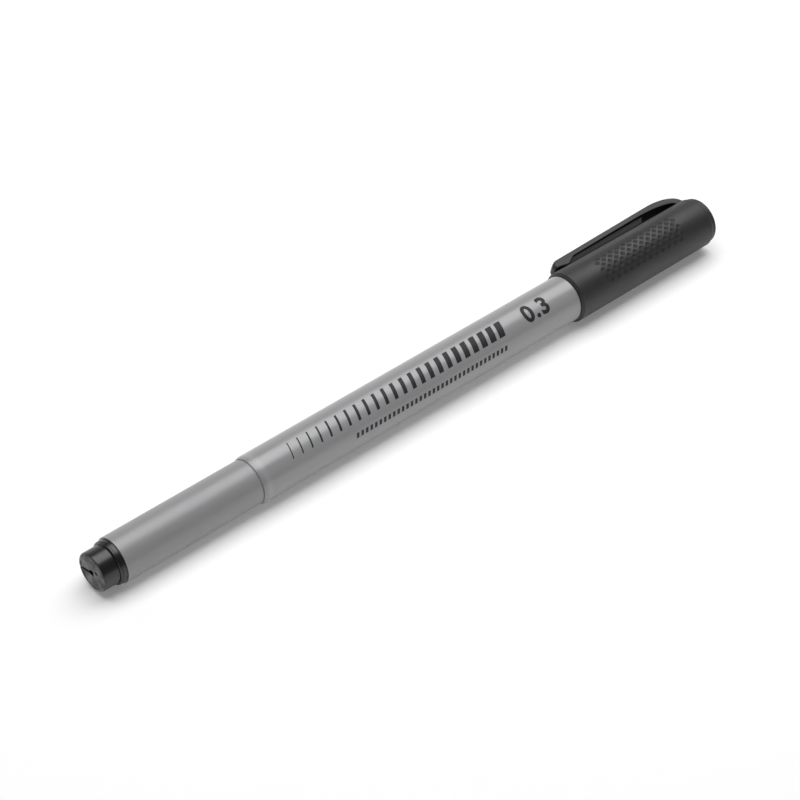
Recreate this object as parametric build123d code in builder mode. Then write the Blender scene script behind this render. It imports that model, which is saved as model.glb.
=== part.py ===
"""Capped fineliner pen: barrel with ink train, nib section and a pull-off cap with a spring clip.

Millimetres. The pen lies along +X from the tail's end face (x = 0) to the cap's closed end,
with its axis on Y = Z = 0 and +Z up. The clip is rolled from +Z towards +Y.
"""
import os
from math import cos, radians, sin

from build123d import *

os.makedirs("parts", exist_ok=True)

# Lengths along the axis, tail to nib
plug_end_length = 3.05
collar_length = 1.2
rear_length = 27.1
main_length = 72.3
neck_length = 7.0
seal_land_length = 4.0
cone_length = 6.0
nose_length = 1.2
sleeve_exposed = 2.8
tip_exposed = 0.6

# Lengths along the axis of the cap
cap_length = 34.55
end_insert = 3.55
disc_length = 1.0
plug_floor = 1.4
liner_wall = 1.0
seal_setback = 0.55
seal_margin = 0.65
tip_clearance = 1.85

# Barrel radius and the steps in from it
main_r = 4.3
spigot_step = 0.27
collar_step = 0.24
plug_end_step = 0.39
body_step = 0.33
land_step = 0.3
cone_step = 0.8

# Walls, and the steps and drafts of the cap
barrel_wall = 0.63
plug_wall = 0.9
nose_wall = 0.45
nose_flare = 0.3
cap_wall = 0.72
cap_taper = 0.09
disc_step = 0.31
liner_step = 0.08
liner_draft = 0.55
end_plug_wall = 1.2

# Fits
cap_fit = 0.05
seal_fit = 0.05
press = 0.02
slip = 0.02
seat_gap = 0.05
root_gap = 0.06

# Barrel details
groove_width = 0.25
groove_depth = 0.16
shoulder_foot = 0.06
shoulder_rise = 0.9
seat_round = 0.2
lead_in = 0.3
rib_count = 6
rib_width = 0.6
rib_height = 0.3
rib_root = 0.2
rib_relief = 0.5

# Tail plug details
plug_insert = 8.0
end_wall = 2.0
end_round = 0.5
rim_width = 0.65
recess_depth = 0.1
collar_round = 0.3
collar_groove_offset = 0.32
collar_groove_width = 0.12
collar_groove_depth = 0.07
vent_width = 1.0
slit_width = 0.42
slit_depth = 0.5
slit_angle = -12.0
dot_r = 0.36
dot_depth = 0.1
dot_offset = 1.45
dot_angle = 150.0

# Ink train
film_wall = 0.1
film_margin = 1.0
section_insert = 10.0
feed_bore_r = 0.9
feed_insert = 10.0
feed_gap = 0.2
sleeve_insert = 7.0
sleeve_r = 0.55
sleeve_front_r = 0.38
sleeve_taper = 0.8
core_r = 0.3
core_insert = 3.0
tip_r = 0.15
tip_round = 0.08

# Edges of the section and the cap
body_round = 0.25
land_round = 0.4
nose_round = 0.2
mouth_bevel = 0.45
mouth_lead = 0.12
shell_end_round = 0.5
disc_round = 0.35
liner_lead = 0.3

# Clip, measured in the plane through the pen's axis
clip_roll = 75.0
clip_root_width = 3.6
clip_narrowing = 0.6
clip_inset = 2.65
clip_tip_rise = 1.9
clip_arch_rise = 2.28
strap_thickness = 1.03
tip_depth = 1.4
pad_ramp = 2.8
pad_slope = 2.0
pad_sink = 0.05
arch_length = 6.8
inner_arch_lead = 3.7
root_thickness = 1.5
root_overhang = 0.25
root_sink = 0.1
tip_corner_round = 0.9
tip_plan_round = 0.9
tip_plan_cut = 0.31
clip_edge_round = 0.2
spine_inset = 0.5
spine_gap = 0.2
spine_reach = 1.5
spine_slope = 1.2
spine_root = 0.2

# Stations along the axis: barrel and tail plug, then the cap, then the nib that the cap covers
collar_x = plug_end_length
collar_groove_x = collar_x + collar_groove_offset
barrel_back_x = collar_x + collar_length
plug_front_x = barrel_back_x + plug_insert
shoulder_x = barrel_back_x + rear_length
rise_x = shoulder_x + shoulder_rise
seat_x = shoulder_x + main_length
barrel_front_x = seat_x + neck_length
section_back_x = barrel_front_x - section_insert
mouth_x = seat_x + seat_gap
shell_end_x = mouth_x + cap_length
cap_front_x = shell_end_x + disc_length
liner_front_x = shell_end_x - end_insert
tip_x = liner_front_x - liner_wall - tip_clearance
sleeve_front_x = tip_x - tip_exposed
section_front_x = sleeve_front_x - sleeve_exposed
sleeve_back_x = section_front_x - sleeve_insert
nose_x = section_front_x - nose_length
cone_x = nose_x - cone_length
land_x = cone_x - seal_land_length
liner_x = land_x + seal_setback

# Radii of the barrel and tail plug
spigot_r = main_r - spigot_step
bore_r = spigot_r - barrel_wall
insert_r = bore_r + press
collar_r = spigot_r - collar_step
plug_end_r = collar_r - plug_end_step
plug_bore_r = bore_r - plug_wall
recess_r = plug_end_r - rim_width

# Radii of the ink train and nib section
film_r = bore_r - rib_height
fibre_r = film_r - film_wall
rib_outer_r = bore_r + rib_root
feed_r = feed_bore_r - slip
section_body_r = spigot_r - body_step
seal_land_r = section_body_r - land_step
cone_base_r = seal_land_r - cone_step
nose_front_r = sleeve_r + nose_wall
cone_front_r = nose_front_r + nose_flare

# Radii of the cap
cap_bore_r = spigot_r + cap_fit
cap_mouth_r = cap_bore_r + cap_wall
cap_end_r = cap_mouth_r - cap_taper
disc_r = cap_end_r - disc_step
liner_bore_r = cap_bore_r - liner_step
liner_r = liner_bore_r + press
seal_bore_r = seal_land_r + seal_fit
liner_end_r = seal_bore_r - liner_draft
plug_core_r = liner_bore_r - end_plug_wall

# Places on the clip
clip_tip_width = clip_root_width - clip_narrowing
clip_tip_r = cap_mouth_r + clip_tip_rise
clip_arch_r = cap_mouth_r + clip_arch_rise
pad_low_r = cap_mouth_r - pad_sink
root_r = disc_r - root_sink
clip_tip_x = mouth_x + clip_inset
pad_x = clip_tip_x + pad_ramp
strap_x = pad_x + pad_slope
root_x = shell_end_x + root_overhang
arch_x = root_x - arch_length
inner_arch_x = arch_x - inner_arch_lead
spine_low_r = cap_mouth_r + spine_gap
spine_end_x = inner_arch_x + spine_reach
side_rate = clip_narrowing / 2 / (root_x - clip_tip_x)
tip_side = clip_tip_width / 2 + side_rate * tip_plan_round
strap_rate = (clip_arch_r - clip_tip_r) / (arch_x - clip_tip_x)
strap_r = clip_tip_r + strap_rate * (strap_x - clip_tip_x) - strap_thickness
inner_arch_r = clip_arch_r - strap_rate * (arch_x - inner_arch_x) - strap_thickness

# Barrel: posting spigot, shoulder, main tube, seat and neck, with ribs that hold the ink reservoir
with BuildPart() as barrel:
    with BuildSketch() as barrel_profile:
        with BuildLine():
            Polyline(
                (rise_x, main_r),
                (seat_x, main_r),
                (seat_x, spigot_r),
                (barrel_front_x, spigot_r),
                (barrel_front_x, bore_r),
                (barrel_back_x, bore_r),
                (barrel_back_x, spigot_r),
                (shoulder_x - groove_width, spigot_r),
                (shoulder_x - groove_width, spigot_r - groove_depth),
                (shoulder_x, spigot_r - groove_depth),
                (shoulder_x, spigot_r + shoulder_foot),
            )
            TangentArc(
                (rise_x, main_r),
                (shoulder_x, spigot_r + shoulder_foot),
                tangent=(-1, 0),
            )
        make_face()
        fillet(barrel_profile.vertices().sort_by_distance((seat_x, main_r))[0], seat_round)
        chamfer(barrel_profile.vertices().sort_by_distance((barrel_front_x, spigot_r))[0], lead_in)
    revolve(axis=Axis.X)
    with BuildSketch(Plane.YZ.offset(plug_front_x + rib_relief)):
        with PolarLocations((film_r + rib_outer_r) / 2, rib_count):
            Rectangle(rib_outer_r - film_r, rib_width)
    extrude(amount=section_back_x - plug_front_x - 2 * rib_relief)
barrel.part.label = "barrel"
export_step(barrel.part, "parts/barrel.step")

# Tail plug: rimmed end face with vent, stepped collar and a hollow insert pressed into the barrel
with BuildPart() as tail_plug:
    with BuildSketch() as tail_profile:
        with BuildLine():
            Polyline(
                (recess_depth, 0),
                (recess_depth, recess_r),
                (0, recess_r),
                (0, plug_end_r),
                (collar_x, plug_end_r),
                (collar_x, collar_r),
                (collar_groove_x, collar_r),
                (collar_groove_x, collar_r - collar_groove_depth),
                (collar_groove_x + collar_groove_width, collar_r - collar_groove_depth),
                (collar_groove_x + collar_groove_width, collar_r),
                (barrel_back_x, collar_r),
                (barrel_back_x, insert_r),
                (plug_front_x, insert_r),
                (plug_front_x, plug_bore_r),
                (end_wall, plug_bore_r),
                (end_wall, 0),
                close=True,
            )
        make_face()
        fillet(tail_profile.vertices().sort_by_distance((0, plug_end_r))[0], end_round)
        fillet(tail_profile.vertices().sort_by_distance((collar_x, collar_r))[0], collar_round)
        chamfer(tail_profile.vertices().sort_by_distance((plug_front_x, insert_r))[0], lead_in)
    revolve(axis=Axis.X)
    with BuildSketch(Plane.YZ):
        Rectangle(vent_width, vent_width)
    extrude(amount=end_wall, mode=Mode.SUBTRACT)
    with BuildSketch(Plane.YZ):
        with PolarLocations(plug_end_r / 2, 1, start_angle=slit_angle):
            Rectangle(plug_end_r, slit_width)
    extrude(amount=slit_depth, mode=Mode.SUBTRACT)
    with BuildSketch(Plane.YZ):
        with PolarLocations(dot_offset, 1, start_angle=dot_angle):
            Circle(dot_r)
    extrude(amount=recess_depth + dot_depth, mode=Mode.SUBTRACT)
tail_plug.part.label = "tail_plug"
export_step(tail_plug.part, "parts/tail_plug.step")

# Ink reservoir: fibre rod between the tail plug and the nib section, with a pocket for the feed rod
with BuildPart() as ink_reservoir:
    with BuildSketch(Plane.YZ.offset(plug_front_x)):
        Circle(fibre_r)
    extrude(amount=section_back_x - plug_front_x)
    with BuildSketch(Plane.YZ.offset(section_back_x - feed_insert)):
        Circle(feed_bore_r)
    extrude(amount=feed_insert, mode=Mode.SUBTRACT)
ink_reservoir.part.label = "ink_reservoir"
export_step(ink_reservoir.part, "parts/ink_reservoir.step")

# Reservoir film: the wrap around the fibre rod
with BuildPart() as reservoir_film:
    with BuildSketch(Plane.YZ.offset(plug_front_x + film_margin)):
        Circle(film_r)
        Circle(fibre_r, mode=Mode.SUBTRACT)
    extrude(amount=section_back_x - plug_front_x - 2 * film_margin)
reservoir_film.part.label = "reservoir_film"
export_step(reservoir_film.part, "parts/reservoir_film.step")

# Nib section: insert pressed into the barrel, body, seal land, cone and nose
with BuildPart() as nib_section:
    with BuildSketch() as section_profile:
        with BuildLine():
            Polyline(
                (section_back_x, feed_bore_r),
                (section_back_x, insert_r),
                (barrel_front_x, insert_r),
                (barrel_front_x, section_body_r),
                (land_x, section_body_r),
                (land_x, seal_land_r),
                (cone_x, seal_land_r),
                (cone_x, cone_base_r),
                (nose_x, cone_front_r),
                (section_front_x, nose_front_r),
                (section_front_x, sleeve_r),
                (sleeve_back_x, sleeve_r),
                (sleeve_back_x, feed_bore_r),
                close=True,
            )
        make_face()
        chamfer(section_profile.vertices().sort_by_distance((section_back_x, insert_r))[0], lead_in)
        fillet(section_profile.vertices().sort_by_distance((land_x, section_body_r))[0], body_round)
        fillet(section_profile.vertices().sort_by_distance((cone_x, seal_land_r))[0], land_round)
        fillet(section_profile.vertices().sort_by_distance((section_front_x, nose_front_r))[0], nose_round)
    revolve(axis=Axis.X)
nib_section.part.label = "nib_section"
export_step(nib_section.part, "parts/nib_section.step")

# Feed rod: wick from the reservoir to the writing core
with BuildPart() as feed_rod:
    with BuildSketch(Plane.YZ.offset(section_back_x - feed_insert)):
        Circle(feed_r)
    extrude(amount=sleeve_back_x - feed_gap - section_back_x + feed_insert)
    with BuildSketch(Plane.YZ.offset(sleeve_back_x - core_insert)):
        Circle(core_r + slip)
    extrude(amount=core_insert, mode=Mode.SUBTRACT)
feed_rod.part.label = "feed_rod"
export_step(feed_rod.part, "parts/feed_rod.step")

# Nib sleeve: steel tube pressed into the nose and drawn in at its front
with BuildPart() as nib_sleeve:
    with BuildSketch():
        with BuildLine():
            Polyline(
                (sleeve_back_x, core_r + slip),
                (sleeve_back_x, sleeve_r),
                (sleeve_front_x - sleeve_taper, sleeve_r),
                (sleeve_front_x, sleeve_front_r),
                (sleeve_front_x, tip_r + slip),
                (sleeve_front_x - sleeve_taper, tip_r + slip),
                (sleeve_front_x - sleeve_taper, core_r + slip),
                close=True,
            )
        make_face()
    revolve(axis=Axis.X)
nib_sleeve.part.label = "nib_sleeve"
export_step(nib_sleeve.part, "parts/nib_sleeve.step")

# Writing core: stem in the feed rod and a fine rounded tip
with BuildPart() as nib_core:
    with BuildSketch() as core_profile:
        with BuildLine():
            Polyline(
                (sleeve_back_x - core_insert, 0),
                (sleeve_back_x - core_insert, core_r),
                (sleeve_front_x - sleeve_taper, core_r),
                (sleeve_front_x - sleeve_taper, tip_r),
                (tip_x, tip_r),
                (tip_x, 0),
                close=True,
            )
        make_face()
        fillet(core_profile.vertices().sort_by_distance((tip_x, tip_r))[0], tip_round)
    revolve(axis=Axis.X)
nib_core.part.label = "nib_core"
export_step(nib_core.part, "parts/nib_core.step")

# Cap shell: slightly tapered tube, open at the mouth and closed by its end plug
with BuildPart() as cap_shell:
    with BuildSketch() as shell_profile:
        with BuildLine():
            Polyline(
                (mouth_x, cap_bore_r),
                (mouth_x, cap_mouth_r),
                (shell_end_x, cap_end_r),
                (shell_end_x, liner_bore_r),
                (liner_x, liner_bore_r),
                (liner_x, cap_bore_r),
                close=True,
            )
        make_face()
        chamfer(shell_profile.vertices().sort_by_distance((mouth_x, cap_mouth_r))[0], mouth_bevel)
        chamfer(shell_profile.vertices().sort_by_distance((mouth_x, cap_bore_r))[0], mouth_lead)
        fillet(shell_profile.vertices().sort_by_distance((shell_end_x, cap_end_r))[0], shell_end_round)
    revolve(axis=Axis.X)
cap_shell.part.label = "cap_shell"
export_step(cap_shell.part, "parts/cap_shell.step")

# Inner cap: liner that seals on the nib section's land
with BuildPart() as inner_cap:
    with BuildSketch() as liner_profile:
        with BuildLine():
            Polyline(
                (liner_x, seal_bore_r),
                (liner_x, liner_r),
                (liner_front_x, liner_r),
                (liner_front_x, 0),
                (liner_front_x - liner_wall, 0),
                (liner_front_x - liner_wall, liner_end_r),
                (cone_x + seal_margin, seal_bore_r),
                close=True,
            )
        make_face()
        chamfer(liner_profile.vertices().sort_by_distance((liner_x, seal_bore_r))[0], liner_lead)
    revolve(axis=Axis.X)
inner_cap.part.label = "inner_cap"
export_step(inner_cap.part, "parts/inner_cap.step")

# Cap end plug: disc that closes the shell, with a cored insert that backs the inner cap
with BuildPart() as cap_end_plug:
    with BuildSketch() as disc_profile:
        with BuildLine():
            Polyline(
                (liner_front_x, plug_core_r),
                (liner_front_x, liner_r),
                (shell_end_x, liner_r),
                (shell_end_x, disc_r),
                (cap_front_x, disc_r),
                (cap_front_x, 0),
                (cap_front_x - plug_floor, 0),
                (cap_front_x - plug_floor, plug_core_r),
                close=True,
            )
        make_face()
        fillet(disc_profile.vertices().sort_by_distance((cap_front_x, disc_r))[0], disc_round)
    revolve(axis=Axis.X)
cap_end_plug.part.label = "cap_end_plug"
export_step(cap_end_plug.part, "parts/cap_end_plug.step")

# Clip: tapered strap with a ramped pad at its tip and a spine under it, arched down to its root at the cap's end
clip_side = (0, -cos(radians(clip_roll)), sin(radians(clip_roll)))
clip_out = (0, sin(radians(clip_roll)), cos(radians(clip_roll)))
clip_plane = Plane(origin=(0, 0, 0), x_dir=(1, 0, 0), z_dir=clip_side)
clip_top = Plane(origin=(0, 0, 0), x_dir=(1, 0, 0), z_dir=clip_out)
with BuildPart() as clip:
    with BuildSketch(clip_plane) as clip_profile:
        with BuildLine():
            EllipticalCenterArc(
                center=(arch_x, root_r),
                x_radius=arch_length,
                y_radius=clip_arch_r - root_r,
                start_angle=0,
                arc_size=90,
            )
            Polyline(
                (arch_x, clip_arch_r),
                (clip_tip_x, clip_tip_r),
                (clip_tip_x, clip_tip_r - tip_depth),
                (pad_x, pad_low_r),
                (strap_x, strap_r),
                (inner_arch_x, inner_arch_r),
            )
            EllipticalCenterArc(
                center=(inner_arch_x, root_r),
                x_radius=root_x - root_thickness - inner_arch_x,
                y_radius=inner_arch_r - root_r,
                start_angle=0,
                arc_size=90,
            )
            Line((root_x - root_thickness, root_r), (root_x, root_r))
        make_face()
        fillet(clip_profile.vertices().sort_by_distance((clip_tip_x, clip_tip_r))[0], tip_corner_round)
    extrude(amount=clip_root_width / 2, both=True)
    with BuildSketch(clip_top):
        with BuildLine():
            Polyline(
                (clip_tip_x, -clip_tip_width / 2),
                (root_x, -clip_root_width / 2),
                (root_x, clip_root_width / 2),
                (clip_tip_x, clip_tip_width / 2),
                close=True,
            )
        make_face()
    extrude(amount=clip_arch_r, mode=Mode.INTERSECT)
    side_faces = clip.faces().sort_by(Axis((0, 0, 0), clip_side))
    fillet(side_faces[0].edges() + side_faces[-1].edges(), clip_edge_round)
    for side in (-1, 1):
        with BuildSketch(clip_top):
            with BuildLine():
                ThreePointArc(
                    (clip_tip_x, side * (clip_tip_width / 2 - tip_plan_round)),
                    (clip_tip_x + tip_plan_cut, side * (clip_tip_width / 2 - tip_plan_cut)),
                    (clip_tip_x + tip_plan_round, side * tip_side),
                )
                Polyline(
                    (clip_tip_x + tip_plan_round, side * tip_side),
                    (clip_tip_x + tip_plan_round, side * clip_root_width),
                    (mouth_x, side * clip_root_width),
                    (mouth_x, side * (clip_tip_width / 2 - tip_plan_round)),
                    (clip_tip_x, side * (clip_tip_width / 2 - tip_plan_round)),
                )
            make_face()
        extrude(amount=clip_arch_r, mode=Mode.SUBTRACT)
    with BuildSketch(clip_plane):
        with BuildLine():
            Polyline(
                (pad_x, spine_low_r),
                (spine_end_x - spine_slope, spine_low_r),
                (spine_end_x, inner_arch_r + spine_root),
                (strap_x, strap_r + spine_root),
                (pad_x, strap_r + spine_root),
                close=True,
            )
        make_face()
    extrude(amount=clip_tip_width / 2 - spine_inset, both=True)
    with BuildSketch():
        with BuildLine():
            Polyline(
                (mouth_x, 0),
                (mouth_x, cap_mouth_r + root_gap),
                (shell_end_x + root_gap, cap_end_r + root_gap),
                (shell_end_x + root_gap, disc_r + root_gap),
                (cap_front_x, disc_r + root_gap),
                (cap_front_x, 0),
                close=True,
            )
        make_face()
    revolve(axis=Axis.X, mode=Mode.SUBTRACT)
clip.part.label = "clip"
export_step(clip.part, "parts/clip.step")
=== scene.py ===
"""Finishes a capped fineliner pen around its fixed frame: surfaces, print, knurl, stage and camera.

Metres. The pen lies along +X with its tail face at x = 0 and its axis on Y = Z = 0.
Angles round the axis run from +Z towards -Y, the side that faces the camera.
"""

import math
from collections import namedtuple

import bmesh
import bpy
from mathutils import Matrix, Vector


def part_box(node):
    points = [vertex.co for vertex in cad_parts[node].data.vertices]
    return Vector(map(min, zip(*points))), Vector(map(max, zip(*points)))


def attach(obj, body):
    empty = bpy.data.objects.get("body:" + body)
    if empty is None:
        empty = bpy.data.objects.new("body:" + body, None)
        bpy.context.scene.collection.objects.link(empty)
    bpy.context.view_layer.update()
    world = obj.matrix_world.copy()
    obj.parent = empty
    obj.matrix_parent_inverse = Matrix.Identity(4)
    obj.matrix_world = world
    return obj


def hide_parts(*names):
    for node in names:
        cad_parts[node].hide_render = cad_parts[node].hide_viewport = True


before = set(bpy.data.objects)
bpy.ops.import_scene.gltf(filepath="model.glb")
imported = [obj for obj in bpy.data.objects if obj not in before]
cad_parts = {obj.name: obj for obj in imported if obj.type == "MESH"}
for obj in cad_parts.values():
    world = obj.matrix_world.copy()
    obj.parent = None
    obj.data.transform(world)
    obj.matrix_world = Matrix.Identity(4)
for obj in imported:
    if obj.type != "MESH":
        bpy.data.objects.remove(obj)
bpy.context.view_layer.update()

bl_info = {
    "name": "Capped fineliner pen",
    "version": (1, 0, 0),
    "blender": (4, 5, 0),
    "location": "3D View > Sidebar > Pen",
    "description": "Builds the finished surfaces of a capped fineliner pen around its frame",
    "category": "Object",
}

MM = 0.001
FULL_TURN = 2 * math.pi
WHITE = (1.0, 1.0, 1.0, 1.0)

# How many times nearer than its target the camera still sees
CLIP_SHARE = 100

# Fineness of the meshes
ROUND_COLUMNS = 128
SMALL_COLUMNS = 48
ARC_STEPS = 6
ARCH_STEPS = 16
SHARP_ANGLE = math.radians(38)

# Small lengths that the meshes need: a support next to an arc and the straight that gets it, a flat rim,
# the axis itself and a weld
SUPPORT = 0.1 * MM
LONG_STRAIGHT = 4 * SUPPORT
FLAT_RIM = 0.05 * MM
ON_AXIS = 1e-7
WELD = 1e-6

# A face is on the clip's underside, where shade is painted, if its normal points inwards and leans little to
# the side
UNDERSIDE = -0.25
EDGE_LEAN = 0.5

# Height of a figure as a share of the font's size, and the points that let the print bend round the barrel
FIGURE_SHARE = 0.72
FIGURE_SLICES = 16
STROKE_POINTS = 9

# Noise in a moulded surface: scales per metre, levels of detail, stretches and the turn of the scratches
FLOW_SCALE = 900.0
FLOW_DETAIL = 4.0
FLOW_STRETCH = (0.12, 1.0, 1.0)
CLOUD_SCALE = 160.0
CLOUD_DETAIL = 3.0
GRAIN_DETAIL = 2.0
SCRATCH_SCALE = 5200.0
SCRATCH_DETAIL = 1.0
SCRATCH_STRETCH = (0.04, 1.0, 1.0)
SCRATCH_TURN = (0.3, 0.2, 0.7)
SCUFF_SCALE = 620.0
SCUFF_DETAIL = 3.0

# Strength of that noise in tint, gloss and height
SCRATCH_LEVEL = 0.74
SCRATCH_TINT = 0.6
SCRATCH_DULLING = 0.08
GLOSS_SPREAD = 0.12
FLOW_HEIGHT = 0.4
BUMP_STRENGTH = 0.25
BUMP_DEPTH = 0.01 * MM

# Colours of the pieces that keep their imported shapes
FIBRE_TINT = (0.68, 0.67, 0.64)
FILM_TINT = (0.74, 0.75, 0.77)

# Polish from handling and a painted highlight: width of a rubbed edge, evenness of the rubbed edges and the
# painted highlight, reach of a grip round and along the cap
RUB_WIDTH = 0.3 * MM
RUB_AND_GLINT_LEAST = 0.6
RUB_AND_GLINT_SPREAD = 0.8
GRIP_BAND = 0.4
GRIP_SPREAD = 0.8

# A scuffed, duller look for all before an end, on the tail plug's face also a painted reflection; a lighter
# band along the axis for a rubbed edge and for the shoulder's painted highlight; and a grip on two sides of a
# tube
WearAndSheen = namedtuple("WearAndSheen", "end blend tint_share gloss_loss scuff_depth")
Rub = namedtuple("Rub", "edge width tint_gain gloss_gain")
Grip = namedtuple("Grip", "middle width angle radius gloss_gain")


# Kinds of setting

def length(name, description, millimetres):
    """A length in metres, given in millimetres."""
    return bpy.props.FloatProperty(
        name=name, description=description, default=millimetres * MM, unit="LENGTH", precision=5
    )


def place(name, description, metres):
    """A place along the axis that the frame gives."""
    return bpy.props.FloatProperty(
        name=name, description=description, default=metres, unit="LENGTH", precision=5
    )


def turn(name, description, degrees):
    """An angle round the axis, given in degrees."""
    return bpy.props.FloatProperty(
        name=name, description=description, default=math.radians(degrees), subtype="ANGLE"
    )


def share(name, description, value):
    """A number without a unit."""
    return bpy.props.FloatProperty(name=name, description=description, default=value)


def count(name, description, value):
    """A whole number of like things."""
    return bpy.props.IntProperty(name=name, description=description, default=value, min=1)


def colour(name, description, value):
    """A linear colour."""
    return bpy.props.FloatVectorProperty(
        name=name, description=description, default=value, size=3, min=0.0, max=1.0, subtype="COLOR"
    )


# Settings that a user would change

class BarrelSizes(bpy.types.PropertyGroup):
    """Barrel: posting end, shoulder, main tube, seat and neck."""

    back: place("Back", "Where the barrel meets the tail plug's collar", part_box("barrel")[0].x)
    front: place("Front", "End of the neck that goes into the cap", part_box("barrel")[1].x)
    radius: place("Radius", "Outside of the main tube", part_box("barrel")[1].y)
    rear_length: length("Rear length", "Posting end, from the collar to the shoulder", 27.1)
    main_length: length("Main length", "From the shoulder to the cap's seat", 72.3)
    spigot_step: length("Posting step", "How far the posting end and neck step in", 0.27)
    wall: length("Wall", "Thickness of the posting end's wall", 0.63)
    groove_width: length("Groove width", "Groove at the shoulder's foot", 0.2)
    groove_depth: length("Groove depth", "Groove at the shoulder's foot", 0.13)
    shoulder_foot: length("Shoulder foot", "Upright edge at the start of the shoulder", 0.06)
    shoulder_rise: length("Shoulder rise", "Length of the shoulder's curve", 0.9)
    seat_round: length("Seat rounding", "Edge of the cap's seat", 0.2)
    lead_in: length("Lead-in", "Rounded front edge of the neck", 0.3)
    edge_round: length("Edge rounding", "Small edges of the moulding", 0.06)
    # Painted highlight: the shoulder's glint is a lighter band of colour, with no change of gloss.
    painted_glint_offset: length("Highlight offset", "From the shoulder to its rubbed highlight", 1.17)
    wear_blend: length("Wear blend", "Length in which the posting end's wear fades out", 0.05)
    rib_count: count("Ribs", "Ribs in the bore that hold the reservoir", 6)
    rib_width: length("Rib width", "Width of each rib", 0.6)
    rib_height: length("Rib height", "How far each rib stands into the bore", 0.3)
    rib_root: length("Rib root", "How far each rib reaches into the wall", 0.2)
    rib_back: length("Rib start", "Back end of the ribs", 12.75)
    rib_front: length("Rib end", "Front end of the ribs", 100.15)
    tint: colour("Silver grey", "Body colour of the satin barrel", (0.314, 0.314, 0.321))


class PrintSizes(bpy.types.PropertyGroup):
    """Printed marks on the barrel: line-weight strokes, a dashed rule and a width number."""

    stroke_start: length("Stroke start", "First line-weight stroke", 38.6)
    stroke_end: length("Stroke end", "Last line-weight stroke", 85.6)
    stroke_count: count("Strokes", "Line-weight strokes", 24)
    stroke_thin: length("Thin stroke", "Width of the thinnest stroke", 0.2)
    stroke_bold: length("Bold stroke", "Width of the boldest stroke", 1.35)
    stroke_height: length("Stroke height", "Height of a stroke round the barrel", 2.9)
    stroke_lean: share("Stroke lean", "Slant of the strokes", 0.22)
    stroke_angle: turn("Stroke angle", "Middle of the strokes round the axis", 28.5)
    dash_start: length("Dash start", "First dash of the rule", 51.2)
    dash_end: length("Dash end", "Last dash of the rule", 85.2)
    dash_count: count("Dashes", "Dashes of the rule", 35)
    dash_width: length("Dash width", "Length of a dash", 0.55)
    dash_height: length("Dash height", "Height of a dash", 0.9)
    dash_angle: turn("Dash angle", "Middle of the rule round the axis", 76.0)
    number: bpy.props.StringProperty(
        name="Number", description="Line width in millimetres, as on the nib", default="0.3"
    )
    number_start: length("Number start", "Left edge of the number", 91.2)
    number_height: length("Number height", "Height of a figure", 3.2)
    number_weight: length("Number weight", "How far the figures' strokes are widened", 0.15)
    number_spacing: share("Number spacing", "Distance of the figures", 1.12)
    number_angle: turn("Number angle", "Middle of the number round the axis", 28.0)
    film: length("Ink film", "How far the print stands off the barrel", 0.012)
    tint: colour("Print", "Colour of the printed marks", (0.016, 0.016, 0.018))


class TailPlugSizes(bpy.types.PropertyGroup):
    """Tail plug: rimmed end face, collar and insert."""

    front: place("Front", "Inner end of the insert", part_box("tail_plug")[1].x)
    collar_radius: place("Collar radius", "Outside of the collar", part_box("tail_plug")[1].y)
    collar_back: length("Collar start", "Back of the collar", 3.05)
    end_step: length("End step", "How far the end steps in from the collar", 0.39)
    rim_width: length("Rim width", "Rim of the end face with its rounding", 0.65)
    recess_depth: length("Recess depth", "How deep the end face lies in its rim", 0.1)
    end_round: length("End rounding", "Outer edge of the end", 0.5)
    collar_round: length("Collar rounding", "Back edge of the collar", 0.3)
    groove_offset: length("Groove offset", "From the collar's back to its groove", 0.32)
    groove_width: length("Groove width", "Groove round the collar", 0.12)
    groove_depth: length("Groove depth", "Groove round the collar", 0.07)
    insert_radius: length("Insert radius", "Part pressed into the barrel", 3.42)
    bore_radius: length("Bore radius", "Inside of the insert", 2.5)
    end_wall: length("End wall", "Thickness of the closed end", 2.0)
    vent: length("Vent", "Side of the square vent", 1.0)
    slit_width: length("Slit width", "Slit from the vent to the rim", 0.42)
    slit_depth: length("Slit depth", "Depth of the slit", 0.5)
    slit_angle: turn("Slit angle", "Direction of the slit from +Y towards +Z", -12.0)
    dot_radius: length("Ejector mark", "Radius of the ejector mark", 0.36)
    dot_offset: length("Mark offset", "Ejector mark's distance from the axis", 1.45)
    dot_angle: turn("Mark angle", "Direction of the ejector mark from +Y towards +Z", 150.0)
    dot_depth: length("Mark depth", "Depth of the ejector mark", 0.1)
    edge_round: length("Edge rounding", "Small edges of the moulding", 0.04)
    # The end face's scuffs are wear, and their strong lightening is also painted reflection of the bright
    # surroundings.
    scuff_and_sheen_end: length("Scuffed end", "How far the scuffs of the end face reach", 0.25)
    scuff_and_sheen_blend: length("Scuff blend", "Length in which the scuffs fade out", 0.12)
    tint: colour("Black", "Body colour of the semi-gloss plug", (0.005, 0.005, 0.0051))
    mark_tint: colour("Mark", "Colour of the ejector mark", (0.022, 0.022, 0.02))


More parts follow.
